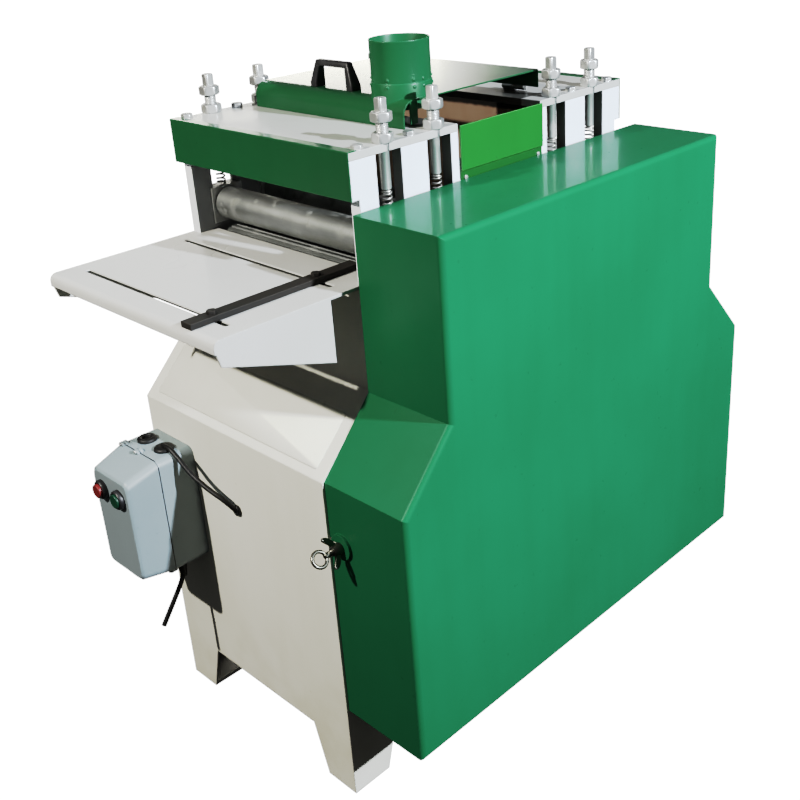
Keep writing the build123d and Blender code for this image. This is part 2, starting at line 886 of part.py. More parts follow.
# Saw arbor: collar, blade seat, clamp nut and journals, with the drive end under the guard
stack_right = blade_xs[-1] + blade_plate / 2 + end_spacer
stack_left = blade_xs[0] - blade_plate / 2 - end_spacer
pulley_end = pulley_x + pulley_length
arbor = rod_x(arbor_d, stack_left - arbor_nut, stack_right + collar, 0, arbor_z)
arbor += rod_x(collar_d, stack_right, stack_right + collar, 0, arbor_z)
arbor += rod_x(journal_d, frame_left - arbor_depth, frame_right + arbor_depth, 0, arbor_z)
arbor += rod_x(drive_end_d, frame_right, pulley_end + 4, 0, arbor_z)
clamp = Rot(0, 90, 0) * hexagon(arbor_nut_flats, arbor_nut, arbor_d + 2 * thread_gap)
save("saw_arbor", arbor, Pos(stack_left - arbor_nut, 0, arbor_z) * clamp)

blade_tip = blade_d / 2
tooth_steps = ((0.0, blade_tip - tooth_depth), (0.35, blade_tip - tooth_depth), (0.9, blade_tip))
blades = []
for x in blade_xs:
    blade = toothed(blade_teeth, tooth_steps, x - blade_plate / 2, x + blade_plate / 2, 0, arbor_z)
    blades.append(blade - rod_x(arbor_d + 2 * running, x - blade_plate, x + blade_plate, 0, arbor_z))
save("saw_blades", *blades)

spacer_ends = [(stack_left, blade_xs[0] - blade_plate / 2)]
spacer_ends += [(a + blade_plate / 2, b - blade_plate / 2) for a, b in zip(blade_xs, blade_xs[1:])]
spacer_ends += [(blade_xs[-1] + blade_plate / 2, stack_right)]
spacers = []
for x0, x1 in spacer_ends:
    spacer = rod_x(spacer_d, x0, x1, 0, arbor_z)
    spacers.append(spacer - rod_x(arbor_d + 2 * running, x0 - 1, x1 + 1, 0, arbor_z))
save("blade_spacers", *spacers)


def pulley(d, bore, y, z):
    # Grooved V-belt pulley turned about the X axis
    rim = d / 2
    bottom = rim - belt_height - belt_clear
    mouth = belt_top / 2 + belt_clear
    floor = belt_bottom / 2 + belt_clear
    profile = [(pulley_x, bore / 2), (pulley_x, rim)]
    for i in range(belt_count):
        middle = pulley_x + pulley_margin + i * belt_pitch
        profile += [(middle - mouth, rim), (middle - floor, bottom)]
        profile += [(middle + floor, bottom), (middle + mouth, rim)]
    profile += [(pulley_end, rim), (pulley_end, bore / 2)]
    face = make_face(Polyline(*[(x, y, z + r) for x, r in profile], close=True))
    return revolve(face, axis=Axis((0, y, z), (1, 0, 0)))


save("arbor_pulley", pulley(arbor_pulley_d, drive_end_d + 2 * running, 0, arbor_z))
motor_wheel = pulley(motor_pulley_d, motor_shaft - 2, motor_y, motor_z)
motor_wheel += rod_x(motor_shaft, motor_right - motor_bore + motor_bore_end, pulley_end, motor_y, motor_z)
save("motor_pulley", motor_wheel)


def tangent_points(circles):
    # Straight outer runs around circles (y, z, radius) that are listed anticlockwise seen from +X
    runs = []
    for (y0, z0, r0), (y1, z1, r1) in zip(circles, circles[1:] + circles[:1]):
        normal = atan2(z1 - z0, y1 - y0) - acos((r0 - r1) / hypot(y1 - y0, z1 - z0))
        start = (y0 + r0 * cos(normal), z0 + r0 * sin(normal))
        end = (y1 + r1 * cos(normal), z1 + r1 * sin(normal))
        runs.append((start, end, normal))
    return runs


def loop_edges(circles, grow, x):
    grown = [(y, z, r + grow) for y, z, r in circles]
    runs = tangent_points(grown)
    edges = []
    for i, (start, end, normal) in enumerate(runs):
        y, z, r = grown[(i + 1) % len(grown)]
        following, _, next_normal = runs[(i + 1) % len(runs)]
        middle = normal + ((next_normal - normal) % (2 * pi)) / 2
        bulge = (x, y + r * cos(middle), z + r * sin(middle))
        edges.append(Line((x, *start), (x, *end)))
        edges.append(ThreePointArc((x, *end), bulge, (x, *following)))
    return edges


# V-belts: trapezoid section carried round the two pulleys
belts = []
for i in range(belt_count):
    x = pulley_x + pulley_margin + i * belt_pitch
    circles = [
        (motor_y, motor_z, motor_pulley_d / 2 - belt_height),
        (0, arbor_z, arbor_pulley_d / 2 - belt_height),
    ]
    edges = loop_edges(circles, 0, x)
    start = edges[0] @ 0
    heading = edges[0] % 0
    outward = Vector(0, heading.Z, -heading.Y)
    corners = [
        (-belt_bottom / 2, 0),
        (belt_bottom / 2, 0),
        (belt_top / 2, belt_height),
        (-belt_top / 2, belt_height),
    ]
    section = make_face(Polyline(*[start + Vector(a, 0, 0) + outward * b for a, b in corners], close=True))
    belts.append(sweep(section, path=Wire([edge.edge() for edge in edges])))
save("drive_belts", *belts)

# Feed chains: link plates either side of the sprocket teeth, joined by the rollers of the straight runs
front_pair = [(-outer_row, feed_z, sprocket_radius), (-inner_row, feed_z, sprocket_radius)]
rear_pair = [(inner_row, feed_z, sprocket_radius), (outer_row, feed_z, sprocket_radius)]
main_loop = [
    (gear_y, gear_z, sprocket_radius),
    (inner_row, feed_z, sprocket_radius),
    (-inner_row, feed_z, sprocket_radius),
]
tooth_sweep = sqrt(sprocket_tip**2 - sprocket_radius**2) + chain_roller / 2 + seat_gap
chains = []
for x, circles in ((chain_x[0], front_pair), (chain_x[0], rear_pair), (chain_x[1], main_loop)):
    chain = None
    for x0 in (x - chain_gap / 2 - chain_plate, x + chain_gap / 2):
        outer = extrude(make_face(loop_edges(circles, chain_height / 2, x0)), chain_plate, dir=(1, 0, 0))
        inner = extrude(make_face(loop_edges(circles, -chain_height / 2, x0)), chain_plate, dir=(1, 0, 0))
        chain = outer - inner if chain is None else chain + (outer - inner)
    for start, end, normal in tangent_points(circles):
        length = hypot(end[0] - start[0], end[1] - start[1])
        count = int((length - 2 * tooth_sweep) / chain_pitch)
        for i in range(count + 1):
            share = 0.5 + (i - count / 2) * chain_pitch / length
            y = start[0] + share * (end[0] - start[0])
            z = start[1] + share * (end[1] - start[1])
            pin = extrude(RegularPolygon(chain_roller / 2, 6), chain_gap)
            chain += Pos(x - chain_gap / 2, y, z) * Rot(0, 90, 0) * pin
    chains.append(chain)
save("feed_chains", *chains)

# Main motor on the cabinet rails: barrel, end bell, fan cowl, foot plate with its saddle and terminal box
motor_left = motor_right - motor_length
motor = rod_x(motor_d, motor_left, motor_right, motor_y, motor_z)
motor += rod_x(motor_bell, motor_right, motor_right + motor_nose / 2, motor_y, motor_z)
motor += rod_x(motor_d * 0.96, motor_left - cowl_length, motor_left, motor_y, motor_z)
motor += block(
    motor_left + motor_foot_margin,
    motor_right - motor_foot_margin,
    motor_y - motor_d * 0.55,
    motor_y + motor_d * 0.55,
    rail_top,
    rail_top + motor_foot_plate,
)
motor += block(
    motor_left + 2 * motor_foot_margin,
    motor_right - 2 * motor_foot_margin,
    motor_y - motor_d * 0.35,
    motor_y + motor_d * 0.35,
    rail_top + motor_foot_plate / 2,
    motor_z,
)
motor += block(
    motor_right - motor_foot_margin - terminal_box,
    motor_right - motor_foot_margin,
    motor_y - terminal_box / 2,
    motor_y + terminal_box / 2,
    motor_z,
    motor_z + terminal_rise,
)
bore_left = motor_right - motor_bore
motor -= rod_x(motor_shaft + 2 * running, bore_left, motor_right + motor_nose, motor_y, motor_z)
save("main_motor", motor)

# Feed gear motor bolted behind the guard-side wall, and its output shaft with the drive sprocket
gear_face = cabinet_right - cabinet_sheet
gear = block(
    gear_face - gear_depth,
    gear_face,
    gear_y - gear_box / 2,
    gear_y + gear_box / 2,
    gear_z - gear_box / 2,
    gear_z + gear_box / 2,
)
gear_back = gear_face - gear_depth
gear += rod_x(gear_motor_d, gear_back - gear_motor_length, gear_back, gear_y, gear_z)
gear -= rod_x(feed_shaft + 2 * running, gear_face - gear_depth / 2, gear_face + 1, gear_y, gear_z)
save("feed_gear_motor", gear)
drive_sprocket = rod_x(
    feed_shaft, gear_face - gear_depth / 2 + 2, chain_x[1] + sprocket_width / 2 + 2, gear_y, gear_z
)
drive_sprocket += rod_x(
    sprocket_hub,
    cabinet_right + seat_gap,
    chain_x[1] + sprocket_width / 2 + 2,
    gear_y,
    gear_z,
)
drive_sprocket += sprocket(chain_x[1], gear_y, gear_z)
save("feed_drive_sprocket", drive_sprocket)

# Belt guard: one-piece sheet tray, open towards the cabinet, with a slotted boss for the latch bolt
guard_upper_front = deck_front + guard_overhang
guard_upper_rear = deck_rear + guard_overhang


def guard_outline():
    return [
        (-guard_front, guard_bottom),
        (guard_rear, guard_bottom),
        (guard_rear, shoulder_height),
        (guard_upper_rear, deck_height),
        (guard_upper_rear, guard_top),
        (-guard_upper_front, guard_top),
        (-guard_upper_front, deck_height),
        (-guard_front, shoulder_height),
    ]


guard_face = make_face(Polyline(*[(guard_inner, y, z) for y, z in guard_outline()], close=True))
guard = extrude(guard_face, half_width - guard_inner, dir=(1, 0, 0))
guard = fillet(guard.faces().sort_by(Axis.X)[-1].edges(), guard_radius)
hollow_face = offset(guard_face, amount=-guard_sheet, kind=Kind.INTERSECTION)
hollow = extrude(hollow_face, half_width - guard_sheet - guard_inner, dir=(1, 0, 0))
hollow = fillet(hollow.faces().sort_by(Axis.X)[-1].edges(), guard_radius - guard_sheet)
guard -= hollow
guard += rod_y(latch_boss, -guard_front - latch_boss_height, -guard_front, latch_bolt_x, latch_z)
guard -= block(
    guard_inner - 1,
    latch_bolt_x,
    -guard_front - latch_boss_height - 1,
    -guard_front + guard_sheet + 1,
    latch_z - latch_slot / 2,
    latch_z + latch_slot / 2,
)
guard -= rod_y(
    latch_slot, -guard_front - latch_boss_height - 1, -guard_front + guard_sheet + 1, latch_bolt_x, latch_z
)
save("belt_guard", guard)

# Lift-off hinges: the lower knuckle and pin stay on their carrier, the upper knuckle drops over the pin
fixed_leaves = []
guard_leaves = []
for z in hinge_z:
    knuckle = rod_z(hinge_knuckle, z - hinge_length, z, hinge_x, hinge_y)
    knuckle += rod_z(hinge_pin, z - 1, z + hinge_length, hinge_x, hinge_y)
    knuckle += block(
        hinge_x - hinge_leaf_width, hinge_x, cabinet_rear, cabinet_rear + hinge_leaf, z - hinge_length, z
    ) - rod_z(hinge_knuckle - 2, z - hinge_length, z, hinge_x, hinge_y)
    fixed_leaves.append(knuckle)
    low = z + seat_gap
    leaf = rod_z(hinge_knuckle, low, z + hinge_length, hinge_x, hinge_y)
    leaf += block(
        hinge_x + 1,
        hinge_x + hinge_leaf_width,
        guard_rear,
        cabinet_rear + hinge_leaf,
        low,
        z + hinge_length,
    )
    leaf -= rod_z(hinge_pin + 2 * running, low - 1, z + hinge_length + 1, hinge_x, hinge_y)
    guard_leaves.append(leaf)
save("guard_hinge_leaves", *guard_leaves)

# Latch: eye bolt held in the cabinet's tab by a nut, and the wing nut that clamps the guard's boss
bolt_front = -guard_front - latch_boss_height - seat_gap
ring_y = bolt_front - wing_length - ring_mean / 2 - ring_wire / 2 - 2
bolt_back = tab_y + latch_tab + latch_nut - ring_y
eye = rod_y(latch_bolt, ring_mean / 2 - shank_sink, bolt_back, 0, 0)
eye += revolve(Pos(0, ring_mean / 2, 0) * RegularPolygon(ring_wire / 2, 8), axis=Axis.X)
eye += Pos(0, bolt_back, 0) * Rot(90, 0, 0) * hexagon(latch_nut_flats, latch_nut, 0)
save("eye_bolt", Pos(latch_bolt_x, ring_y, latch_z) * eye)

half_span = wing_span / 2
wing_tip = bolt_front - wing_length
wing_back = bolt_front - wing_hub_length
wing_outline = [
    (wing_hub * 0.3, bolt_front - 2),
    (wing_hub * 0.75, bolt_front - 4),
    (half_span, wing_tip + wing_slope),
    (half_span - 1, wing_tip),
    (half_span - wing_end, wing_tip),
    (wing_hub * 0.3, wing_back),
]
wing = rod_y(wing_hub, wing_back, bolt_front, latch_bolt_x, latch_z)
for side in (-1, 1):
    points = [(latch_bolt_x + side * x, y) for x, y in wing_outline]
    wing += prism_z(points, latch_z - wing_thick / 2, latch_z + wing_thick / 2)
wing -= rod_y(latch_bolt + 2 * running, wing_tip - 1, bolt_front + 1, latch_bolt_x, latch_z)
turned_wing = Rot(0, wing_turn, 0) * Pos(-latch_bolt_x, 0, -latch_z) * wing
save("wing_nut", Pos(latch_bolt_x, 0, latch_z) * turned_wing)


def hood_outline(drawn_in):
    # Section of the hood: upright lip, bend, flat roof and a short back flange
    front = drawn_in - hood_front
    rear = hood_rear - drawn_in
    roof = hood_top - drawn_in
    bend_y = hood_bend - hood_front
    bend_z = hood_top - hood_bend
    low = hood_bottom - (1 if drawn_in else 0)
    back = hood_top - hood_back_drop - (1 if drawn_in else 0)
    return [
        Line((hood_left, front, low), (hood_left, front, bend_z)),
        quarter_bend(hood_left, bend_y, bend_z, hood_bend - drawn_in),
        Line((hood_left, bend_y, roof), (hood_left, rear, roof)),
        Line((hood_left, rear, roof), (hood_left, rear, back)),
        Line((hood_left, rear, back), (hood_left, front, low)),
    ]


# Hood: folded sheet open at both ends, with a baffle behind the lip and the duct's opening
hood_solid = extrude(make_face(hood_outline(0)), hood_width, dir=(1, 0, 0))
hood_hollow = extrude(make_face(hood_outline(hood_sheet)), hood_width, dir=(1, 0, 0))
roof_bottom = hood_top - hood_sheet
hood = hood_solid - hood_hollow
hood -= block(
    hood_left - 1,
    hood_right + 1,
    hood_sheet - hood_front,
    hood_rear - hood_sheet,
    0,
    roof_bottom - hood_bend,
)
baffle_bottom = lid_z + baffle_clear
baffle_right = hood_right - baffle_inset
baffle = block(
    hood_left + baffle_inset,
    baffle_right,
    -baffle_y,
    hood_sheet - baffle_y,
    baffle_bottom,
    roof_bottom + 1,
)
baffle += block(
    baffle_right - hood_sheet,
    baffle_right,
    -baffle_y - baffle_return,
    hood_sheet - baffle_y,
    baffle_bottom,
    roof_bottom + 1,
)
hood += baffle & hood_solid
duct_bore = rod_z(duct_d - 2 * duct_wall, lid_z, duct_top + 1, duct_x, duct_y)
hood -= duct_bore
save("hood_cover", hood)

# Dust port: lower collar fitted to the bend of the hood, and the plain pipe that takes the hose
duct = rod_z(duct_d + 2 * duct_collar, roof_bottom - hood_bend, collar_top, duct_x, duct_y)
duct += rod_z(duct_d, collar_top - 1, duct_top, duct_x, duct_y)
duct -= duct_bore
save("dust_port", duct - hood_solid)

# Moulded bridge handle: two feet, slanting legs and a straight grip between them
foot_end = handle_length / 2
foot_inner = foot_end - handle_foot
legs = [
    (foot_inner, 0),
    (foot_end, 0),
    (foot_end, handle_foot_height),
    (foot_end - handle_slant, handle_rise),
    (handle_slant - foot_end, handle_rise),
    (-foot_end, handle_foot_height),
    (-foot_end, 0),
    (-foot_inner, 0),
    (-foot_inner, handle_foot_height),
    (handle_inner_slant - foot_inner, handle_rise - handle_grip),
    (foot_inner - handle_inner_slant, handle_rise - handle_grip),
    (foot_inner, handle_foot_height),
]
base_half = handle_depth / 2
top_half = handle_top_depth / 2
handle = prism_y([(handle_x + x, hood_top + z) for x, z in legs], handle_y - base_half, handle_y + base_half)
handle = fillet(handle.edges().filter_by(Axis.Y).group_by(Axis.Z)[-1], handle_corner)
taper = [
    (handle_y - base_half, hood_top),
    (handle_y + base_half, hood_top),
    (handle_y + base_half, hood_top + handle_foot_height),
    (handle_y + top_half, hood_top + handle_rise),
    (handle_y - top_half, hood_top + handle_rise),
    (handle_y - base_half, hood_top + handle_foot_height),
]
save("hood_handle", handle & prism_x(taper, handle_x - foot_end, handle_x + foot_end))

# Hood hinges behind the hood: pinned knuckles on the rear top plate, bored knuckles on the back flange
hood_leaves = []
leaf_top = hood_top - leaf_drop
for x in hood_hinge_x:
    knuckle = rod_x(hood_knuckle, x - hood_hinge_length, x, hood_axis_y, hood_axis_z)
    knuckle += rod_x(hood_pin, x - 1, x + hood_hinge_length, hood_axis_y, hood_axis_z)
    knuckle += block(
        x - hood_hinge_length, x, hood_axis_y, hood_axis_y + hood_leaf_width, lid_z, lid_z + hood_leaf
    )
    fixed_leaves.append(knuckle)
    low = x + seat_gap
    leaf = rod_x(hood_knuckle, low, x + hood_hinge_length, hood_axis_y, hood_axis_z)
    leaf += block(low, x + hood_hinge_length, hood_rear, hood_rear + hood_leaf, hood_axis_z, leaf_top)
    leaf += block(low, x + hood_hinge_length, hood_rear, hood_axis_y, hood_axis_z, hood_axis_z + 4)
    leaf -= rod_x(hood_pin + 2 * running, low - 1, x + hood_hinge_length + 1, hood_axis_y, hood_axis_z)
    hood_leaves.append(leaf)
save("hood_hinge_leaves", *hood_leaves)
save("fixed_hinge_leaves", *fixed_leaves)

# Rip fence: flat bar across the infeed table, clamped through the two slots
fence_bottom = table_height + seat_gap
fence_top = fence_bottom + fence_height
bar = block(
    fence_x - fence_width / 2, fence_x + fence_width / 2, -fence_front, -fence_rear, fence_bottom, fence_top
)
fence_bolts = []
for y in (-fence_slot_front, -fence_slot_rear):
    bar -= stud(fence_bolt + 2 * thread_gap, fence_bottom - 1, fence_top + 1, fence_x, y)
    clamp_bolt = Pos(fence_x, y, fence_top) * hexagon(fence_head, fence_head_height, 0)
    nut_low = table_bottom - seat_gap - fence_nut
    clamp_bolt += stud(fence_bolt, nut_low - 2, fence_top + 1, fence_x, y)
    clamp_bolt += Pos(fence_x, y, nut_low) * hexagon(fence_nut_flats, fence_nut, 0)
    fence_bolts.append(clamp_bolt)
save("fence_bar", bar)
save("fence_bolts", *fence_bolts)


# Starter box: cast base on the front wall, tapered cover, two sprung push buttons in round bezels
def starter_plane(y, z):
    return Plane(origin=(starter_x, y, z), x_dir=(1, 0, 0), z_dir=(0, -1, 0))


base_section = RectangleRounded(starter_width, starter_height, starter_corner)
front_section = RectangleRounded(starter_front_width, starter_front_height, starter_corner)
save("starter_base", extrude(starter_plane(starter_back, starter_z) * base_section, starter_base_depth))
cover = loft(
    [
        starter_plane(starter_split, starter_z) * base_section,
        starter_plane(starter_face, starter_z - starter_front_drop) * front_section,
    ]
)
cover = chamfer(cover.faces().sort_by(Axis.Y)[0].edges(), starter_edge)
button_xs = (starter_x - button_spread, starter_x + button_spread)
button_hole = button_d + 2 * button_gap
bezels = []
for x in button_xs:
    cover -= rod_y(button_hole, starter_face - 1, starter_face + button_bore, x, button_z)
    bezel = rod_y(bezel_d, starter_face - bezel_depth, starter_face, x, button_z)
    bezel -= rod_y(button_hole, starter_face - bezel_depth - 1, starter_face + 1, x, button_z)
    bezels.append(bezel)
save("starter_cover", cover)
save("button_bezels", *bezels)
buttons = (("stop_button", button_xs[0], stop_reach), ("start_button", button_xs[1], start_reach))
for name, x, reach in buttons:
    front = starter_face - bezel_depth - reach
    button = rod_y(button_d, front, front + button_length, x, button_z)
    save(name, chamfer(button.faces().sort_by(Axis.Y)[0].edges(), button_chamfer))

# Cable entries: two grommets on the starter's top, a gland under it and the bush in the cabinet wall
starter_top = starter_z + starter_height / 2
entries = []
for x, hollow_d in ((button_xs[0], grommet_bore), (button_xs[1], 0)):
    cone = Pos(x, grommet_y, starter_top + grommet_height / 2) * Cone(
        grommet_d / 2, grommet_top_d / 2, grommet_height
    )
    if hollow_d:
        cone -= rod_z(hollow_d, starter_top + 1, starter_top + grommet_height + 1, x, grommet_y)
    entries.append(cone)
starter_bottom = starter_z - starter_height / 2
gland = (starter_x + gland_offset, starter_back - gland_reach, starter_bottom - gland_height)
entries.append(rod_z(gland_d, gland[2], starter_bottom, gland[0], gland[1]))
tail_points = [tuple(a + b for a, b in zip(gland, step)) for step in tail_course]
grommet_top = (button_xs[1], grommet_y, starter_top + grommet_height)
cable_points = [tuple(a + b for a, b in zip(grommet_top, step)) for step in cable_course]
bush_x, _, bush_z = cable_points[-1]
entries.append(rod_y(bush_d, starter_back - bush_depth, starter_back, bush_x, bush_z))
save("cable_grommets", *entries)


def cord(name, points):
    # Round cable along straight runs joined by the largest tangent arcs that they allow
    radii = []
    for a, b, c in zip(points, points[1:], points[2:]):
        before = Vector(*b) - Vector(*a)
        after = Vector(*c) - Vector(*b)
        turn = radians(before.get_angle(after))
        radii.append(0.45 * min(before.length, after.length) / tan(turn / 2))
    path = FilletPolyline(*points, radius=radii)
    length = sum(edge.length for edge in path.edges())
    heading = Vector(*points[1]) - Vector(*points[0])
    tube = sweep(Plane(origin=points[0], z_dir=heading) * Circle(cable_d / 2), path=path)
    share = tube.volume / (pi * cable_d**2 / 4 * length)
    print(name, "radii", [round(radius) for radius in radii], "volume share", round(share, 4))
    save(name, tube)


cord("motor_cable", cable_points)
cord("supply_tail", tail_points)
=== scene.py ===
from math import cos, pi, radians, sin, sqrt

import bmesh
import bpy
from mathutils import Matrix, Vector


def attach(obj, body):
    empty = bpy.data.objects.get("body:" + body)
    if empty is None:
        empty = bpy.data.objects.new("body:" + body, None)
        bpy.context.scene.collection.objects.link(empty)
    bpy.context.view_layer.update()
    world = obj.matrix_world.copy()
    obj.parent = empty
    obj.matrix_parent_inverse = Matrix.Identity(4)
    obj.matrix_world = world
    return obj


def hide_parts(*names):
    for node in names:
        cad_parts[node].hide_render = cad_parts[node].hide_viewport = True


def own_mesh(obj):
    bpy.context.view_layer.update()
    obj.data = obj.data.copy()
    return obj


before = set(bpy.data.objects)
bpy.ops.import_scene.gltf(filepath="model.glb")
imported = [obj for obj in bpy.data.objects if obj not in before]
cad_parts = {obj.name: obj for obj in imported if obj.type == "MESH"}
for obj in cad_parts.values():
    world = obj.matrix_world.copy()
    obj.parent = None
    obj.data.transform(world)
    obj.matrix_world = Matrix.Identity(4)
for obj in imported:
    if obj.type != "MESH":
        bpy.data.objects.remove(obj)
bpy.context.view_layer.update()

# Studio: a white paper sweep under and behind the machine, lit to an even white. A small cool lamp
# hangs high on the guard side and a warm one in front, a wide panel fills the back and the far side,
# and a fading row of panels shows in the glossy tops.


class Socket:
    # One output of a shader node. Arithmetic on it adds Math nodes, and node() adds any other kind.
    def __init__(self, tree, output=None):
        self.tree = tree
        self.output = output

    def node(self, kind, settings, sockets, output=0):
        made = self.tree.nodes.new("ShaderNode" + kind)
        for name, value in settings.items():
            setattr(made, name, value)
        for name, value in sockets.items():
            if isinstance(value, Socket):
                self.tree.links.new(value.output, made.inputs[name])
            else:
                made.inputs[name].default_value = value
        return Socket(self.tree, made.outputs[output] if made.outputs else None)

    def math(self, operation, first, second):
        return self.node("Math", {"operation": operation}, {0: first, 1: second})

    def __add__(self, other):
        return self.math("ADD", self, other)

    def __radd__(self, other):
        return self.math("ADD", other, self)

    def __sub__(self, other):
        return self.math("SUBTRACT", self, other)

    def __rsub__(self, other):
        return self.math("SUBTRACT", other, self)

    def __mul__(self, other):
        return self.math("MULTIPLY", self, other)

    def __rmul__(self, other):
        return self.math("MULTIPLY", other, self)

    def ramp(self, low, high):
        # 0 below low and 1 above high, with a smooth run between them
        values = {"Value": self, "From Min": low, "From Max": high}
        return self.node("MapRange", {"interpolation_type": "SMOOTHSTEP"}, values)

    def tint(self, colour, other):
        # The first colour where the value is 0, the other where it is 1
        return self.node("Mix", {"data_type": "RGBA"}, {0: self, 6: colour, 7: other}, 2)


def rgb(red, green, blue):
    # Screen colour as the linear values that a shader takes
    parts = [value / 255 for value in (red, green, blue)]
    return *[part / 12.92 if part < 0.04 else ((part + 0.055) / 1.055) ** 2.4 for part in parts], 1.0


def new_finish(name):
    material = bpy.data.materials.new(name)
    material.use_nodes = True
    material.node_tree.nodes.clear()
    return material, Socket(material.node_tree)


def clouds(place, scale, detail):
    return place.node("TexNoise", {}, {"Vector": place, "Scale": scale, "Detail": detail}, "Fac")


def lamp(name, place, target, width, height, watts, colour):
    light = bpy.data.lights.new(name, "AREA")
    light.shape = "RECTANGLE"
    light.size = width
    light.size_y = height
    light.energy = watts
    light.color = colour
    made = bpy.data.objects.new(name, light)
    bpy.context.scene.collection.objects.link(made)
    made.location = place
    made.rotation_mode = "QUATERNION"
    made.rotation_quaternion = (target - place).to_track_quat("-Z", "Y")
    return made


sweep_sides, sweep_bend = 64, 3.0
sweep_profile = [(4.0, 0.0), (8.0, 0.0)]
for k in range(1, 13):
    angle = k * pi / 24
    sweep_profile.append((8 + sweep_bend * sin(angle), sweep_bend - sweep_bend * cos(angle)))
sweep_profile.append((11.0, 14.0))
sweep_points = []
for radius, height in sweep_profile:
    angles = [2 * pi * k / sweep_sides for k in range(sweep_sides)]
    sweep_points += [(radius * cos(angle), radius * sin(angle), height) for angle in angles]
sweep_faces = [tuple(range(sweep_sides))]
for row in range(len(sweep_profile) - 1):
    low, high = row * sweep_sides, (row + 1) * sweep_sides
    for k in range(sweep_sides):
        after = (k + 1) % sweep_sides
        sweep_faces.append((low + k, low + after, high + after, high + k))
floor_mesh = bpy.data.meshes.new("floor")
floor_mesh.from_pydata(sweep_points, [], sweep_faces)
floor_mesh.polygons.foreach_set("use_smooth", [True] * len(floor_mesh.polygons))
floor_finish, floor_root = new_finish("paper_sweep")
floor_place = floor_root.node("TexCoord", {}, {}, "Object")
floor_cloud = clouds(floor_place, 1.2, 5.0).ramp(0.3, 0.7)
floor_shader = floor_root.node("BsdfPrincipled", {}, {
    "Base Color": floor_cloud.tint(rgb(240, 240, 240), rgb(244, 244, 244)),
    "Roughness": 0.9,
    "Specular IOR Level": 0.0,
    "Emission Color": (1, 1, 1, 1),
    "Emission Strength": 3.1,
})
floor_root.node("OutputMaterial", {}, {"Surface": floor_shader})
floor_mesh.materials.append(floor_finish)
floor = bpy.data.objects.new("floor", floor_mesh)
bpy.context.scene.collection.objects.link(floor)
floor.visible_diffuse = False
floor.visible_glossy = False
floor.visible_shadow = False

sky = bpy.data.worlds.new("sky")
bpy.context.scene.world = sky
sky.use_nodes = True
sky.node_tree.nodes.clear()
sky_root = Socket(sky.node_tree)
sky_place = sky_root.node("TexCoord", {}, {}, "Generated")
sky_height = sky_root.node("SeparateXYZ", {}, {"Vector": sky_place}, "Z")
sky_under, sky_level, sky_over = (0.03, 0.03, 0.026, 1), (0.08, 0.083, 0.086, 1), (0.12, 0.124, 0.13, 1)
sky_low = sky_height.ramp(-0.25, 0.1).tint(sky_under, sky_level)
sky_light = sky_root.node("Background", {}, {
    "Color": sky_height.ramp(0.1, 0.8).tint(sky_low, sky_over),
    "Strength": 1.0,
})
sky_root.node("OutputWorld", {}, {"Surface": sky_light})

middle = Vector((0, 0, 0.6))
lamp("key_lamp", Vector((3.38, 0.22, 2.6)), middle, 0.07, 0.07, 385, (0.92, 0.99, 1.08))


def front_share(name, watts):
    return lamp(name, Vector((-0.52, -2.75, 2.72)), middle, 0.06, 0.06, watts, (1.0, 0.965, 0.89))


def lit_group(name, node, state):
    # A list for a lamp's links: holds one part and says if the lamp knows only it or all but it
    group = bpy.data.collections.new(name)
    group.objects.link(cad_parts[node])
    group.collection_objects[0].light_linking.link_state = state
    return group


# Three lamps in one place, so that the table does not shade the guard, nor the hood the tie plates
front_links = front_share("front_lamp", 150).light_linking
front_links.receiver_collection = lit_group("all_but_guard", "belt_guard", "EXCLUDE")
guard_links = front_share("guard_lamp", 112).light_linking
guard_links.receiver_collection = lit_group("guard_alone", "belt_guard", "INCLUDE")
guard_links.blocker_collection = lit_group("all_but_table", "infeed_table", "EXCLUDE")
chamber_links = front_share("chamber_lamp", 75).light_linking
chamber_links.receiver_collection = lit_group("tie_plates_alone", "tie_plates", "INCLUDE")
chamber_links.blocker_collection = lit_group("all_but_hood", "hood_cover", "EXCLUDE")

panel_way, panel_facing = Vector((0.717, 0.697, 0)), Vector((3.6, -3.5, -0.6))
panel_height, panel_watts, strip_width = 0.66, 12.5, 0.07
strips = [(-1.16, 2.6, 1.0)]
strips += [(0.175 + strip_width * k, strip_width, 0.66 ** (k + 1)) for k in range(8)]
for offset, width, share in strips:
    place = Vector((-3.6, 3.5, 1.8)) + panel_way * offset
    watts = panel_watts * width * share
    panel = lamp("back_panel", place, place + panel_facing, width, panel_height, watts, (1.0, 0.97, 0.87))
    panel.visible_diffuse = False
rear_fill = lamp("rear_fill", Vector((-2.7, 2.5, 0.9)), middle, 1.8, 1.2, 75, (1.0, 0.99, 0.97))
rear_fill.visible_glossy = False

camera_data = bpy.data.cameras.new("camera")
camera_data.sensor_width = 36.0
camera_data.lens = 48.39
camera_data.shift_x = -0.0512
camera_data.shift_y = -0.0795
camera = bpy.data.objects.new("camera", camera_data)
bpy.context.scene.collection.objects.link(camera)
bpy.context.scene.camera = camera
turn, fall, lean = 0.7906, 0.4029, -0.0576
ahead = Vector((-sin(turn) * cos(fall), cos(turn) * cos(fall), -sin(fall)))
level = Vector((cos(turn), sin(turn), 0))
rise = level.cross(ahead)
across = level * cos(lean) + rise * sin(lean)
upward = rise * cos(lean) - level * sin(lean)
stand = Matrix.Translation((1.3192, -1.3170, 1.4812))
camera.matrix_world = stand @ Matrix((across, upward, -ahead)).transposed().to_4x4()
view = bpy.context.scene.view_settings
view.view_transform = "Standard"
view.use_curve_mapping = True
view.curve_mapping.white_level = (3, 3, 3)
tone_curve = ((0.01, 0.015), (0.027, 0.052), (0.067, 0.185), (0.2, 0.53), (0.5, 0.73), (0.667, 0.83))
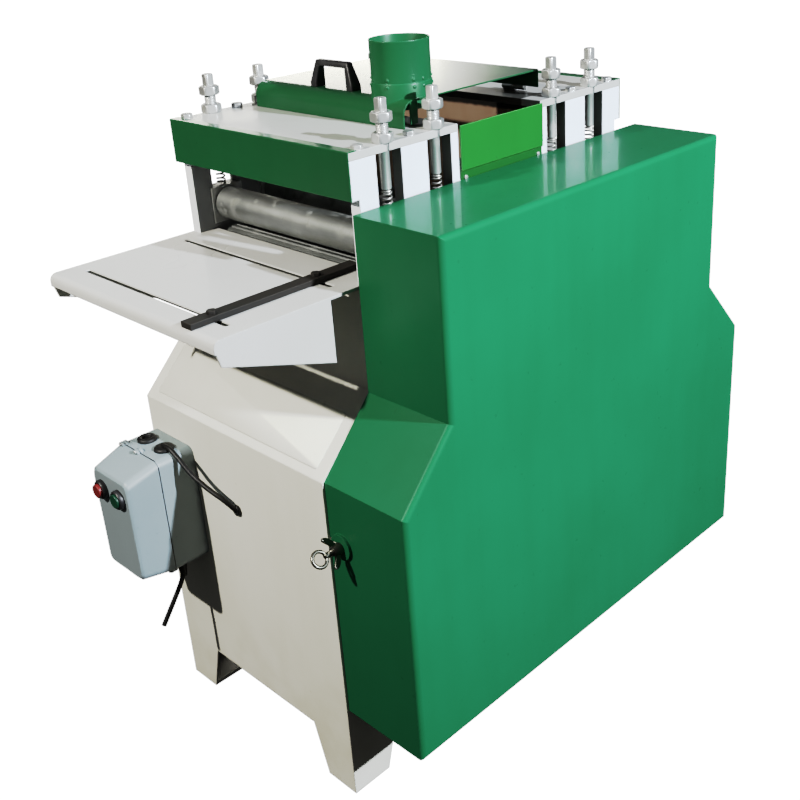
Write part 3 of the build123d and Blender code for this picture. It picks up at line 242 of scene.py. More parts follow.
for point in tone_curve:
    view.curve_mapping.curves[3].points.new(*point)
view.curve_mapping.update()

# Cabinet: folded and welded 4 mm sheet on four tapered legs, sprayed with a cream enamel that has
# picked up shop dirt low down. The hatch lies nearly flush in the front shoulder, in the same paint.


def stretched(place, scale):
    return place.node("Mapping", {}, {"Vector": place, "Scale": scale})


def near_edge(root, width):
    # 0 on flats, more towards corners: how far a rounded-off normal leans away from the true one
    rounded = root.node("Bevel", {"samples": 4}, {"Radius": width})
    true = root.node("NewGeometry", {}, {}, "Normal")
    return 1 - root.node("VectorMath", {"operation": "DOT_PRODUCT"}, {0: rounded, 1: true}, "Value")


def along(place, axis):
    return place.node("SeparateXYZ", {}, {"Vector": place}, axis)


def enamel(
    name, colour, shade, edge, dirt_and_shade,
    rough=0.3, shine=0.4, coat=0.0, top_coat=0.0, haze=0.03, peel=0.12, soft=0.002, marks=None,
):
    # Sprayed paint. Level faces take top_coat, the others coat. Marks masks darkened places: dirt on some finishes,
    # painted shade on others.
    finish, root = new_finish(name)
    place = root.node("TexCoord", {}, {}, "Object")
    drift = clouds(place, 3.2, 4.0).ramp(0.32, 0.68)
    runs = clouds(stretched(place, (26, 26, 2.2)), 1.0, 3.0).ramp(0.35, 0.75)
    specks = clouds(place, 90, 5.0).ramp(0.68, 0.76)
    edge_highlight_and_wear = near_edge(root, soft).ramp(0.03, 0.22)
    tone = (drift * 0.75 + runs * 0.25).tint(colour, shade)
    tone = (specks * 0.16).tint(tone, dirt_and_shade)
    # Corners lighter towards the edge colour: partly wear, partly a painted highlight
    tone = (edge_highlight_and_wear * 0.7).tint(tone, edge)
    if marks:
        # Darkened where marks says: dirt on some finishes, painted shade on others
        tone = marks(place).tint(tone, dirt_and_shade)
    upright = root.node("TexCoord", {}, {}, "Normal")
    level_face = along(upright, "Z").ramp(0.7, 0.95)
    height = clouds(place, 700, 2.0) * 0.6 + clouds(place, 140, 2.0) * 0.4
    rounded = root.node("Bevel", {"samples": 4}, {"Radius": soft})
    bump = root.node("Bump", {}, {"Strength": peel, "Distance": 0.0004, "Height": height, "Normal": rounded})
    shader = root.node("BsdfPrincipled", {}, {
        "Base Color": tone,
        "Roughness": rough + drift * 0.08 + specks * 0.2,
        "Specular IOR Level": shine,
        "Coat Weight": level_face * (top_coat - coat) + coat,
        "Coat Roughness": haze,
        "Coat IOR": 1.5,
        "Normal": bump,
    })
    root.node("OutputMaterial", {}, {"Surface": shader})
    return finish


def dress(finish, *nodes):
    for name in nodes:
        for part_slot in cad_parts[name].material_slots:
            part_slot.material = finish


def skin(shape, rings, closed=False):
    # Walls between rings of points, either joined round into a loop or capped at both ends
    rows = [[shape.verts.new(point) for point in ring] for ring in rings]
    pairs = list(zip(rows, rows[1:]))
    if closed:
        pairs.append((rows[-1], rows[0]))
    for low, high in pairs:
        for k in range(len(low)):
            after = (k + 1) % len(low)
            shape.faces.new((low[k], low[after], high[after], high[k]))
    if not closed:
        shape.faces.new(rows[0][::-1])
        shape.faces.new(rows[-1])


def add_piece(name, shape, finish, body, slot, *nodes):
    bmesh.ops.recalc_face_normals(shape, faces=shape.faces)
    mesh = bpy.data.meshes.new(name)
    shape.to_mesh(mesh)
    shape.free()
    mesh.polygons.foreach_set("use_smooth", [True] * len(mesh.polygons))
    mesh.set_sharp_from_angle(angle=radians(35))
    mesh.materials.append(finish)
    made = bpy.data.objects.new(name, mesh)
    bpy.context.scene.collection.objects.link(made)
    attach(made, body)
    if nodes:
        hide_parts(*nodes)
    return made


def low_dirt(place):
    return (1 - along(place, "Z").ramp(0.02, 0.4)) * clouds(place, 9, 5.0).ramp(0.35, 0.72) * 0.22


cabinet_cream = enamel(
    "cabinet_cream", rgb(211, 209, 199), rgb(203, 201, 189), rgb(222, 221, 213), rgb(128, 116, 94),
    rough=0.42, shine=0.3, soft=0.004, marks=low_dirt,
)
dress(cabinet_cream, "base_cabinet")
shoulder_y, shoulder_z = -0.445, 0.634
hatch_left, hatch_right, hatch_low, hatch_high, hatch_corner = -0.309, 0.130, 0.021, 0.109, 0.006
hatch_middle_x, hatch_middle_up = (hatch_left + hatch_right) / 2, (hatch_low + hatch_high) / 2
hatch = bmesh.new()
hatch_corners = (
    (hatch_right, hatch_high), (hatch_left, hatch_high), (hatch_left, hatch_low), (hatch_right, hatch_low),
)
hatch_outline = []
for quarter, (corner_x, corner_up) in enumerate(hatch_corners):
    for k in range(7):
        angle = (quarter + k / 6) * pi / 2
        hatch_outline.append((corner_x + hatch_corner * cos(angle), corner_up + hatch_corner * sin(angle)))
rings = []
for lift, inset in ((-0.001, 0), (0.0003, 0), (0.0006, 0.0004)):
    points = []
    for x, up in hatch_outline:
        x += -inset if x > hatch_middle_x else inset
        up += -inset if up > hatch_middle_up else inset
        points.append(Vector((x, shoulder_y + (up - lift) / sqrt(2), shoulder_z + (up + lift) / sqrt(2))))
    rings.append(points)
skin(hatch, rings)
add_piece("shoulder_hatch", hatch, cabinet_cream, "machine", "cabinet_paint", "access_hatch")

# Tables and bed: 5 mm sheet folded down at the sides and rolled at the end, in a grey-white enamel
# that the boards have polished, with painted shade low down inside the fence slots. The bed is ground steel.
bed_middle, front_slot, rear_slot = -0.0735, -0.548, -0.357


def apart(place, axis, middle):
    # How far a place is from a plane across the axis
    return place.math("ABSOLUTE", along(place, axis) - middle, 0)


# Painted shade: darkens the walls of the fence slots below the table top
def slot_painted_shade(place):
    outside = apart(place, "X", bed_middle).ramp(0.1962, 0.1968)
    front = apart(place, "Y", front_slot).ramp(0.0050, 0.0056)
    rear = apart(place, "Y", rear_slot).ramp(0.0050, 0.0056)
    return (1 - front * rear) * (1 - outside) * (1 - along(place, "Z").ramp(0.9202, 0.9208))


def bare_metal(name, colour, shade, stain, grain, rough, stains=0.4, metal=1.0):
    # Grain is the stretch of the tool marks along the three axes
    finish, root = new_finish(name)
    place = root.node("TexCoord", {}, {}, "Object")
    marks = clouds(stretched(place, grain), 1.0, 4.0)
    drift = clouds(place, 14, 4.0).ramp(0.3, 0.7)
    patch = clouds(place, 38, 6.0).ramp(0.56, 0.72)
    tone = (drift * 0.6 + marks * 0.4).tint(colour, shade)
    tone = (patch * stains).tint(tone, stain)
    rounded = root.node("Bevel", {"samples": 4}, {"Radius": 0.001})
    bump = root.node("Bump", {}, {"Strength": 0.25, "Distance": 0.0003, "Height": marks, "Normal": rounded})
    shader = root.node("BsdfPrincipled", {}, {
        "Base Color": tone,
        "Metallic": metal - patch * (stains * metal),
        "Roughness": rough + marks * 0.15 + patch * 0.2,
        "Normal": bump,
    })
    root.node("OutputMaterial", {}, {"Surface": shader})
    return finish


# The last colour is for dirt specks and for the painted shade in the slots
table_grey = enamel(
    "table_grey", rgb(190, 190, 187), rgb(182, 182, 178), rgb(206, 206, 204), rgb(34, 36, 33),
    rough=0.27, shine=0.4, coat=0.02, top_coat=0.25, peel=0.06, soft=0.003, marks=slot_painted_shade,
)
dress(table_grey, "infeed_table", "outfeed_table")
ground_steel = bare_metal(
    "ground_steel", rgb(176, 174, 168), rgb(142, 140, 134), rgb(104, 94, 80), (300, 8, 300), rough=0.4,
)
dress(ground_steel, "bed_plate")

# Side plates: 20 mm plate flame-cut with open-topped slots for the pressure blocks, sprayed white
# with a faint blue cast. The slot walls and the inner faces are darkened with painted shade.


# Painted shade: darkens the slot walls and the plates' inner faces
def slot_and_inner_painted_shade(place):
    facing = apart(place.node("TexCoord", {}, {}, "Normal"), "Y", 0).ramp(0.7, 0.9)
    inside = 1 - apart(place, "Y", 0).ramp(0.300, 0.302)
    inner_face = 1 - apart(place, "X", bed_middle).ramp(0.2091, 0.2096)
    return place.math("MAXIMUM", facing * inside * 0.92, inner_face * 0.75)


# The last colour is for dirt specks and for the painted shade on slot walls and inner faces
frame_white = enamel(
    "frame_white", rgb(226, 228, 232), rgb(217, 219, 223), rgb(238, 239, 242), rgb(66, 68, 62),
    rough=0.38, shine=0.35, marks=slot_and_inner_painted_shade,
)
dress(frame_white, "side_plate_right", "side_plate_left")

# Lower feed rollers: fluted steel rollers in cast flange bearings, joined by roller chains under the
# guard to the gear motor's sprocket. Each chain is punched links on riveted pins.
roller_steel = bare_metal(
    "roller_steel", rgb(171, 173, 171), rgb(127, 130, 128), rgb(88, 87, 82), (40, 260, 260), rough=0.42, stains=0.5,
)
chain_steel = bare_metal(
    "chain_steel", rgb(120, 114, 104), rgb(84, 78, 70), rgb(66, 50, 36), (200, 200, 200), rough=0.4, stains=0.7,
)
cast_grey = enamel(
    "cast_grey", rgb(96, 100, 102), rgb(80, 84, 86), rgb(122, 126, 128), rgb(50, 46, 42), rough=0.55, peel=0.5,
)
dress(roller_steel, *[f"feed_roller_{row}" for row in range(1, 5)])
dress(chain_steel, "feed_drive_sprocket")
dress(cast_grey, "shaft_bearings")
row_ys = (-0.253, -0.145, 0.145, 0.253)
feed_z, gear_z, near_chain, far_chain = 0.895, 0.620, 0.188, 0.206
chain_pitch, wheel_radius, chain_roller = 0.015875, 0.03067, 0.01016
plate_round, plate_waist, plate_half = 0.0068, 0.0053, 0.0006
pin_end = ((0.0025, 0.0038), (0.0025, 0.0066), (0.0018, 0.0069))
chains = bmesh.new()


def ring(place, radius, height, steps=48):
    angles = [2 * pi * k / steps for k in range(steps)]
    return [place @ Vector((radius * cos(angle), radius * sin(angle), height)) for angle in angles]


def turned(shape, place, profile, closed=False, steps=48):
    # Turned about the Z axis of place, from pairs of radius and height
    skin(shape, [ring(place, radius, height, steps) for radius, height in profile], closed)


def chain_course(wheels):
    # Evenly spaced link pins round the outside of a row of equal wheels, given anticlockwise as (y, z)
    runs = []
    for wheel, after, before in zip(wheels, wheels[1:] + wheels[:1], wheels[-1:] + wheels[:-1]):
        leave = (after - wheel).normalized()
        reach = (wheel - before).normalized()
        start = Vector((reach.y, -reach.x))
        bend = reach.angle(leave) if len(wheels) > 2 else pi
        runs.append((wheel, start, bend, leave, (after - wheel).length))
    total = sum(bend * wheel_radius + straight for wheel, start, bend, leave, straight in runs)
    count = 2 * round(total / chain_pitch / 2)
    pins = []
    for k in range(count):
        left = total * k / count
        for wheel, start, bend, leave, straight in runs:
            if left <= bend * wheel_radius:
                angle = left / wheel_radius
                pins.append(wheel + Matrix.Rotation(angle, 2) @ start * wheel_radius)
                break
            left -= bend * wheel_radius
            if left <= straight:
                pins.append(wheel + Vector((leave.y, -leave.x)) * wheel_radius + leave * left)
                break
            left -= straight
    return pins


def link_plate(x, first, second):
    # Waisted plate round both pins
    centre = (first + second) / 2
    way = (second - first).normalized()
    across = Vector((-way.y, way.x))
    half = (second - first).length / 2
    angles = (-1.7, -1.0, -0.5, 0, 0.5, 1.0, 1.7)
    outline = [(half + plate_round * cos(angle), plate_round * sin(angle)) for angle in angles]
    outline += [(0, plate_waist)] + [(-u, v) for u, v in outline[::-1]] + [(0, -plate_waist)]
    flat = [centre + way * u + across * v for u, v in outline]
    skin(chains, [[Vector((x + side, point.x, point.y)) for point in flat] for side in (-plate_half, plate_half)])


first, second, third, fourth = [Vector((row_y, feed_z)) for row_y in row_ys]
for chain_x, wheels in (
    (near_chain, [first, second]),
    (near_chain, [third, fourth]),
    (far_chain, [Vector((0, gear_z)), third, second]),
):
    pins = chain_course(wheels)
    for k, pin in enumerate(pins):
        # Outer and inner links by turns
        offset = 0.0058 if k % 2 else 0.0044
        for side in (-offset, offset):
            link_plate(chain_x + side, pin, pins[(k + 1) % len(pins)])
        axis = Matrix.Translation((chain_x, pin.x, pin.y)) @ Matrix.Rotation(pi / 2, 4, "Y")
        for side in (-1, 1):
            turned(chains, axis, [(radius, side * height) for radius, height in pin_end], steps=12)
        # Rollers are left out where a sprocket's teeth fill the link
        if min((pin - wheel).length for wheel in wheels) > 0.0415:
            turned(chains, axis, [(chain_roller / 2, -0.0036), (chain_roller / 2, 0.0036)], steps=16)
add_piece("roller_chains", chains, chain_steel, "machine", "chain_steel", "feed_chains")

# Saw arbor: a ground shaft with six rip blades between spacers, clamped by one nut and driven
# through the pulley at its guard end.
blade_steel = bare_metal(
    "blade_steel", rgb(190, 190, 188), rgb(160, 160, 158), rgb(110, 96, 74), (220, 220, 220), rough=0.3, stains=0.3,
)
dress(blade_steel, "saw_blades", "saw_arbor", "blade_spacers")
dress(cast_grey, "arbor_pulley", "motor_pulley")

# Motor and belts: a foot-mounted motor bolted to the cabinet's rails and three V-belts up to the
# arbor. The feed has its own small gear motor.
motor_blue = enamel(
    "motor_blue", rgb(58, 84, 104), rgb(48, 70, 88), rgb(92, 116, 134), rgb(40, 36, 32), rough=0.45, peel=0.4,
)
dress(motor_blue, "main_motor", "feed_gear_motor")


def moulded(name, colour, shade, rough=0.4, shine=0.5):
    # Moulded rubber or plastic with a fine texture and rubbed patches
    finish, root = new_finish(name)
    place = root.node("TexCoord", {}, {}, "Object")
    rubbed = clouds(place, 24, 4.0).ramp(0.4, 0.75)
    rounded = root.node("Bevel", {"samples": 4}, {"Radius": 0.0015})
    height = clouds(place, 900, 2.0)
    bump = root.node("Bump", {}, {"Strength": 0.25, "Distance": 0.0003, "Height": height, "Normal": rounded})
    shader = root.node("BsdfPrincipled", {}, {
        "Base Color": rubbed.tint(colour, shade),
        "Roughness": rough + rubbed * 0.12,
        "Specular IOR Level": shine,
        "Normal": bump,
    })
    root.node("OutputMaterial", {}, {"Surface": shader})
    return finish


black_rubber = moulded("black_rubber", rgb(14, 14, 14), rgb(24, 24, 24), rough=0.45, shine=0.35)
dress(black_rubber, "drive_belts")

# Upper pressure rollers: plain steel rollers in sliding blocks, pressed down by wound springs in the
# slots of the side plates.
zinc_plate = bare_metal(
    "zinc_plate", rgb(206, 207, 205), rgb(178, 179, 177), rgb(140, 136, 128), (120, 120, 500),
    rough=0.34, stains=0.35, metal=0.8,
)
dress(roller_steel, *[f"pressure_roller_{row}" for row in range(1, 5)])
dress(zinc_plate, *[f"pressure_blocks_{row}" for row in range(1, 5)])

screw_xs = (-0.2925, 0.1455)
spring_low, spring_high = 0.9973, 1.0527
spring_radius, spring_wire, spring_turns = 0.007, 0.003, 8


def coil(shape, x, y):
    # Closed end turns, open turns between them
    run = spring_high - spring_low - spring_wire
    close = spring_wire * 1.2
    turn_steps, wire_steps = 28, 10
    arms = [(cos(2 * pi * k / wire_steps), sin(2 * pi * k / wire_steps)) for k in range(wire_steps)]
    rings = []
    for step in range(spring_turns * turn_steps + 1):
        turns = step / turn_steps
        open_turns = min(max(turns - 1, 0), spring_turns - 2)
        ends = turns - open_turns
        height = spring_low + spring_wire / 2 + ends * close + open_turns * (run - 2 * close) / (spring_turns - 2)
        out = Vector((cos(2 * pi * turns), sin(2 * pi * turns), 0))
        centre = Vector((x, y, height)) + out * spring_radius
        rings.append([centre + (out * a + Vector((0, 0, b))) * (spring_wire / 2) for a, b in arms])
    skin(shape, rings)


spring_steel = bare_metal(
    "spring_steel", rgb(200, 198, 192), rgb(150, 147, 140), rgb(96, 84, 70), (90, 90, 900),
    rough=0.3, stains=0.3, metal=0.7,
)
for row, row_y in enumerate(row_ys, 1):
    springs = bmesh.new()
    for screw_x in screw_xs:
        coil(springs, screw_x, row_y)
    node = f"pressure_springs_{row}"
    piece = add_piece(f"wound_springs_{row}", springs, spring_steel, "machine", "spring_steel", node)
    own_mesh(piece)

# Top of the frame: two 12 mm plates bolted across the towers, rusty tie plates round the blade
# chamber, and folded covers at the ends and the sides, the side ones on pan screws.


# Painted shade: darkens the top band of the tie plates, where the chamber is in shadow
def top_band_painted_shade(place):
    return (along(place, "Z") + clouds(place, 60, 4.0) * 0.004).ramp(1.103, 1.109)


# Painted shade: darkens the lower flange band of the side covers
def flange_painted_shade(place):
    return (1 - (along(place, "Z") + clouds(place, 45, 5.0) * 0.008).ramp(1.0495, 1.0535)) * 0.55


# Painted shade: darkens the top plates where the hood covers them
def under_hood_painted_shade(place):
    covered = 1 - apart(place, "Y", 0).ramp(0.150, 0.158)
    return covered * (1 - along(place, "X").ramp(0.112, 0.116)) * 0.9


# The last colour is for dirt specks and for the painted shade under the hood
plate_grey = enamel(
    "plate_grey", rgb(184, 185, 182), rgb(174, 175, 171), rgb(210, 211, 211), rgb(40, 40, 36),
    rough=0.26, shine=0.4, top_coat=0.14, peel=0.1, marks=under_hood_painted_shade,
)
dress(plate_grey, "top_plates")
# The last colour is for dirt specks and for the painted shade along the top band
rusty_steel = enamel(
    "rusty_steel", rgb(178, 155, 137), rgb(158, 130, 110), rgb(188, 168, 150), rgb(30, 29, 26),
    rough=0.75, shine=0.2, peel=0.5, marks=top_band_painted_shade,
)
dress(rusty_steel, "tie_plates")
cover_green = enamel(
    "cover_green", rgb(31, 79, 51), rgb(28, 73, 46), rgb(54, 112, 80), rgb(22, 46, 32),
    rough=0.3, shine=0.22, coat=0.03, top_coat=1.0, haze=0.14, peel=0.05,
)
# The edge colour is a painted highlight on the cover edges; the last colour is for dirt specks and the painted
# shade on the flange
side_green = enamel(
    "side_green", rgb(38, 99, 45), rgb(35, 93, 41), rgb(120, 178, 112), rgb(20, 62, 30),
    rough=0.32, shine=0.3, peel=0.06, marks=flange_painted_shade,
)
dress(cover_green, "end_covers")
dress(side_green, "side_covers")


def pan_screw(shape, place, radius):
    # Pan head with a hexagon socket
    profile = ((1, 0), (1, 0.3), (0.86, 0.55), (0.66, 0.62))
    turned(shape, place, [(radius * out, radius * height) for out, height in profile])
    turned(shape, place, [(radius * 0.425, radius * height) for height in (0.625, 0.632)], steps=6)


cover_screws = bmesh.new()
for screw_y in (-0.091, 0.091):
    for screw_x, way in ((0.158, 1), (-0.305, -1)):
        place = Matrix.Translation((screw_x, screw_y, 1.037)) @ Matrix.Rotation(way * pi / 2, 4, "Y")
        pan_screw(cover_screws, place, 0.0042)
add_piece("cover_screws", cover_screws, zinc_plate, "machine", "zinc_steel")

# Pressure screws: zinc-plated M20 screws with a plain stem on each spring, a lock nut on the top
# plate, a second nut to turn them by and a squared end.
nut_flats, nut_height, screw_thick, screw_pitch = 0.030, 0.015, 0.020, 0.0025
screw_bottom, lid_top = 1.053, 1.125
turn_low, turn_high, screw_top = 1.156, 1.171, 1.191
nut_bore, square_half = 0.0202, 0.0075


def hexagon_ring(place, flats, limit, height):
    # Hexagon whose corners are cut back to the limit radius
    points = []
    for k in range(48):
        angle = 2 * pi * k / 48
        radius = min(flats / 2 / cos(angle % (pi / 3) - pi / 6), limit)
        points.append(place @ Vector((radius * cos(angle), radius * sin(angle), height)))
    return points


def nut(shape, place, flats, height, bore=0.0, both=True):
    # Hexagon with its corners chamfered by a 30 degree cone at the top, and at the bottom if both
    rings = []
    cut = flats * 0.06
    levels = [0, cut / 3, cut * 2 / 3, cut]
    for low in levels if both else [0]:
        limit = flats * 0.48 + low * sqrt(3) if both else flats
        rings.append(hexagon_ring(place, flats, limit, low))
    for low in levels[::-1]:
        rings.append(hexagon_ring(place, flats, flats * 0.48 + low * sqrt(3), height - low))
    if bore:
        rings += [ring(place, bore / 2 + 0.0008, height), ring(place, bore / 2, height - 0.001)]
        rings += [ring(place, bore / 2, 0.001), ring(place, bore / 2 + 0.0008, 0)]
    skin(shape, rings, closed=bool(bore))


def thread(shape, place, diameter, pitch, low, high):
    # Rings whose high side goes round once in every pitch
    pitch_steps, round_steps = 5, 24
    rings = []
    for step in range(int((high - low) / pitch * pitch_steps) + 1):
        height = low + step * pitch / pitch_steps
        points = []
        for k in range(round_steps):
            phase = (k / round_steps - height / pitch) % 1
            radius = diameter / 2 - pitch * 0.55 * abs(2 * phase - 1)
            angle = 2 * pi * k / round_steps
            points.append(place @ Vector((radius * cos(angle), radius * sin(angle), height)))
        rings.append(points)
    skin(shape, rings)


screws = bmesh.new()
nuts = bmesh.new()
for screw_x in screw_xs:
    for row_y in row_ys:
        place = Matrix.Translation((screw_x, row_y, 0))
        turned(screws, place, [
            (0.0065, screw_bottom), (0.0082, screw_bottom + 0.0015), (0.0082, lid_top - 0.013),
            (0.0095, lid_top - 0.011), (0.0095, lid_top),
        ])
        thread(screws, place, screw_thick, screw_pitch, lid_top - 0.004, turn_high + 0.001)
        rings = []
        for height, size in ((turn_high, 0.0093), (screw_top - 0.0015, 0.0093), (screw_top, 0.0083)):
            points = []
            for k in range(48):
                angle = 2 * pi * k / 48
                radius = min(square_half / cos((angle + pi / 4) % (pi / 2) - pi / 4), size)
                points.append(place @ Vector((radius * cos(angle), radius * sin(angle), height)))
            rings.append(points)
        skin(screws, rings)
        for height in (lid_top, turn_low):
            nut(nuts, place @ Matrix.Translation((0, 0, height)), nut_flats, nut_height, nut_bore)
add_piece("adjusting_screws", screws, zinc_plate, "machine", "zinc_steel", "pressure_screws")
add_piece("adjusting_nuts", nuts, zinc_plate, "machine", "zinc_steel", "pressure_screw_nuts")

# Top plate bolts: zinc-plated M10 hexagon bolts with a forged washer face, which hold the top plates
# down on the towers.
bolt_flats, bolt_height = 0.017, 0.007
bolts = bmesh.new()
for screw_x in screw_xs:
    for bolt_y in (-0.305, -0.199, 0.199, 0.305):
        place = Matrix.Translation((screw_x, bolt_y, lid_top))
        nut(bolts, place, bolt_flats, bolt_height, both=False)
        turned(bolts, place, [(0.0095, 0), (0.0095, 0.0006), (0.009, 0.0007)])
add_piece("plate_bolts", bolts, zinc_plate, "machine", "zinc_steel", "top_plate_bolts")

# Dust hood: one folded sheet hinged at the rear, with a baffle behind its rounded front, and a spigot
# for the hose, riveted in pairs about its seam. The handle is a black moulding.
dress(cover_green, "hood_cover")
dress(zinc_plate, "hood_hinge_leaves", "fixed_hinge_leaves")
spigot_green = enamel(
    "spigot_green", rgb(32, 86, 57), rgb(29, 80, 52), rgb(50, 112, 80), rgb(22, 46, 32),
    rough=0.32, shine=0.25, peel=0.05,
)
port_place = Matrix.Translation((0.060, -0.126, 0))
port = bmesh.new()
turned(port, port_place, [
    (0.0460, 1.150), (0.0495, 1.150), (0.0495, 1.1892), (0.0492, 1.1899), (0.0480, 1.1902), (0.0480, 1.2515),
    (0.0484, 1.2530), (0.0485, 1.2540), (0.0481, 1.2548), (0.0472, 1.2550), (0.0463, 1.2547), (0.0460, 1.2538),
], closed=True, steps=96)
for angle in (-135, -71, -20, 2, 45, 100, 160):
    turning = port_place @ Matrix.Rotation(radians(angle), 4, "Z")
    for out, high in ((0.0480, 1.1955), (0.0495, 1.1845)):
        rivet = turning @ Matrix.Translation((out - 0.0004, 0, high)) @ Matrix.Rotation(pi / 2, 4, "Y")
        turned(port, rivet, [(0.0026, 0), (0.0024, 0.0009), (0.0017, 0.0015), (0.0007, 0.0018)], steps=16)
add_piece("hose_spigot", port, spigot_green, "hood", "cover_green", "dust_port")

black_plastic = moulded("black_plastic", rgb(30, 30, 31), rgb(46, 46, 48), rough=0.42)
handle_x, handle_y, handle_z = -0.078, -0.147, 1.168
foot_half, foot_high, grip_half, grip_high = 0.011, 0.008, 0.006, 0.045
outer = [(0.053, 0), (0.053, foot_high), (0.040, grip_high), (-0.040, grip_high), (-0.053, foot_high), (-0.053, 0)]
inner = [(0.037, 0), (0.037, foot_high), (0.032, 0.035), (-0.032, 0.035), (-0.037, foot_high), (-0.037, 0)]
handle = bmesh.new()


def handle_row(side):
    # The outer and the inner outline on one side, thinner towards the grip
    rows = []
    for outline in (outer, inner):
        row = []
        for x, z in outline:
            share = max(z - foot_high, 0) / (grip_high - foot_high)
            half = foot_half - (foot_half - grip_half) * share
            row.append(handle.verts.new((handle_x + x, handle_y + side * half, handle_z + z)))
        rows.append(row)
    return rows


front_outer, front_inner = handle_row(-1)
back_outer, back_inner = handle_row(1)
for k in range(5):
    handle.faces.new((front_outer[k], front_outer[k + 1], front_inner[k + 1], front_inner[k]))
    handle.faces.new((back_outer[k], back_inner[k], back_inner[k + 1], back_outer[k + 1]))
    handle.faces.new((front_outer[k], back_outer[k], back_outer[k + 1], front_outer[k + 1]))
    handle.faces.new((front_inner[k], front_inner[k + 1], back_inner[k + 1], back_inner[k]))
for k in (0, 5):
    handle.faces.new((front_outer[k], front_inner[k], back_inner[k], back_outer[k]))
handle.normal_update()
bmesh.ops.recalc_face_normals(handle, faces=handle.faces)
raised = [edge for edge in handle.edges if max(vert.co.z for vert in edge.verts) > handle_z + 0.001]
sharp = [edge for edge in raised if edge.calc_face_angle(0) > 0.15]
bmesh.ops.bevel(handle, geom=sharp, offset=0.0028, segments=3, profile=0.5, affect="EDGES", clamp_overlap=True)
add_piece("bridge_handle", handle, black_plastic, "hood", "black_plastic", "hood_handle")

# Belt guard: one welded sheet tray over the belts and chains, lift-off hinges at the rear and a
# latch at the front, of a forged eye bolt and a cast wing nut.
guard_green = enamel(
    "guard_green", rgb(34, 101, 70), rgb(31, 96, 65), rgb(54, 128, 94), rgb(22, 66, 44),
    rough=0.34, shine=0.12, top_coat=0.26, peel=0.05, soft=0.0016,
)
dress(guard_green, "belt_guard")
dress(zinc_plate, "guard_hinge_leaves")
latch_steel = bare_metal(
    "latch_steel", rgb(112, 111, 103), rgb(84, 83, 76), rgb(62, 57, 48), (120, 120, 500),
    rough=0.28, stains=0.5,
)
latch = Matrix.Translation((0.189, -0.4463, 0.530)) @ Matrix.Rotation(pi / 2, 4, "X")
latch_thick, latch_pitch, latch_flats = 0.010, 0.0015, 0.017
eye_bolt = bmesh.new()
thread(eye_bolt, latch, latch_thick, latch_pitch, -0.036, 0.026)
turned(eye_bolt, latch, [(0.0045, 0.0255), (0.0048, 0.0265), (0.0048, 0.0300), (0.0036, 0.0315)], steps=24)
nut(eye_bolt, latch @ Matrix.Translation((0, 0, -0.0345)), latch_flats, 0.008, 0.0102)
eye_turn = latch @ Matrix.Translation((0, 0, 0.041)) @ Matrix.Rotation(radians(40), 4, "Z")
eye_turn = eye_turn @ Matrix.Rotation(pi / 2, 4, "Y")
eye_radius, eye_wire, eye_steps, wire_steps = 0.0125, 0.0060, 40, 14
arms = []
for k in range(wire_steps):
    angle = 2 * pi * k / wire_steps
    arms.append((eye_wire / 2 * cos(angle), eye_wire / 2 * sin(angle)))
eye_rings = []
for k in range(eye_steps):
    angle = 2 * pi * k / eye_steps
    spoke = Vector((cos(angle), sin(angle), 0))
    eye_rings.append([eye_turn @ (spoke * (eye_radius + a) + Vector((0, 0, b))) for a, b in arms])
skin(eye_bolt, eye_rings, closed=True)
add_piece("latch_eye_bolt", eye_bolt, latch_steel, "machine", "zinc_steel", "eye_bolt")

wing_nut = bmesh.new()
wing_place = latch @ Matrix.Rotation(radians(-56), 4, "Z")
turned(wing_nut, wing_place, [
    (0.0052, 0.0004), (0.0094, 0.0), (0.0100, 0.0008), (0.0098, 0.0040), (0.0078, 0.0145), (0.0072, 0.0158),
    (0.0052, 0.0160),
], closed=True)
wing_outline = [
    (0.0068, 0.0030), (0.0125, 0.0055), (0.0190, 0.0095), (0.0240, 0.0140), (0.0266, 0.0185), (0.0268, 0.0222),
    (0.0248, 0.0246), (0.0220, 0.0244), (0.0180, 0.0215), (0.0130, 0.0170), (0.0060, 0.0135),
]
middle_x = sum(x for x, z in wing_outline) / len(wing_outline)
middle_z = sum(z for x, z in wing_outline) / len(wing_outline)
for side in (1, -1):
    rings = []
    for depth, shrink in ((-0.0022, 0.86), (-0.0015, 0.97), (0, 1.0), (0.0015, 0.97), (0.0022, 0.86)):
        points = [(middle_x + (x - middle_x) * shrink, middle_z + (z - middle_z) * shrink) for x, z in wing_outline]
        rings.append([wing_place @ Vector((side * x, depth, z)) for x, z in points])
    skin(wing_nut, rings)
add_piece("latch_wing_nut", wing_nut, latch_steel, "latch_nut", "zinc_steel", "wing_nut")

# Rip fence: a flat bar of hot-rolled steel, brushed with black paint. Two bolts clamp it in the slots
# of the infeed table.
black_steel = enamel(
    "black_steel", rgb(36, 35, 33), rgb(44, 41, 38), rgb(78, 73, 68), rgb(84, 60, 44),
    rough=0.55, shine=0.2, peel=0.3,
)
dress(black_steel, "fence_bar", "fence_bolts")

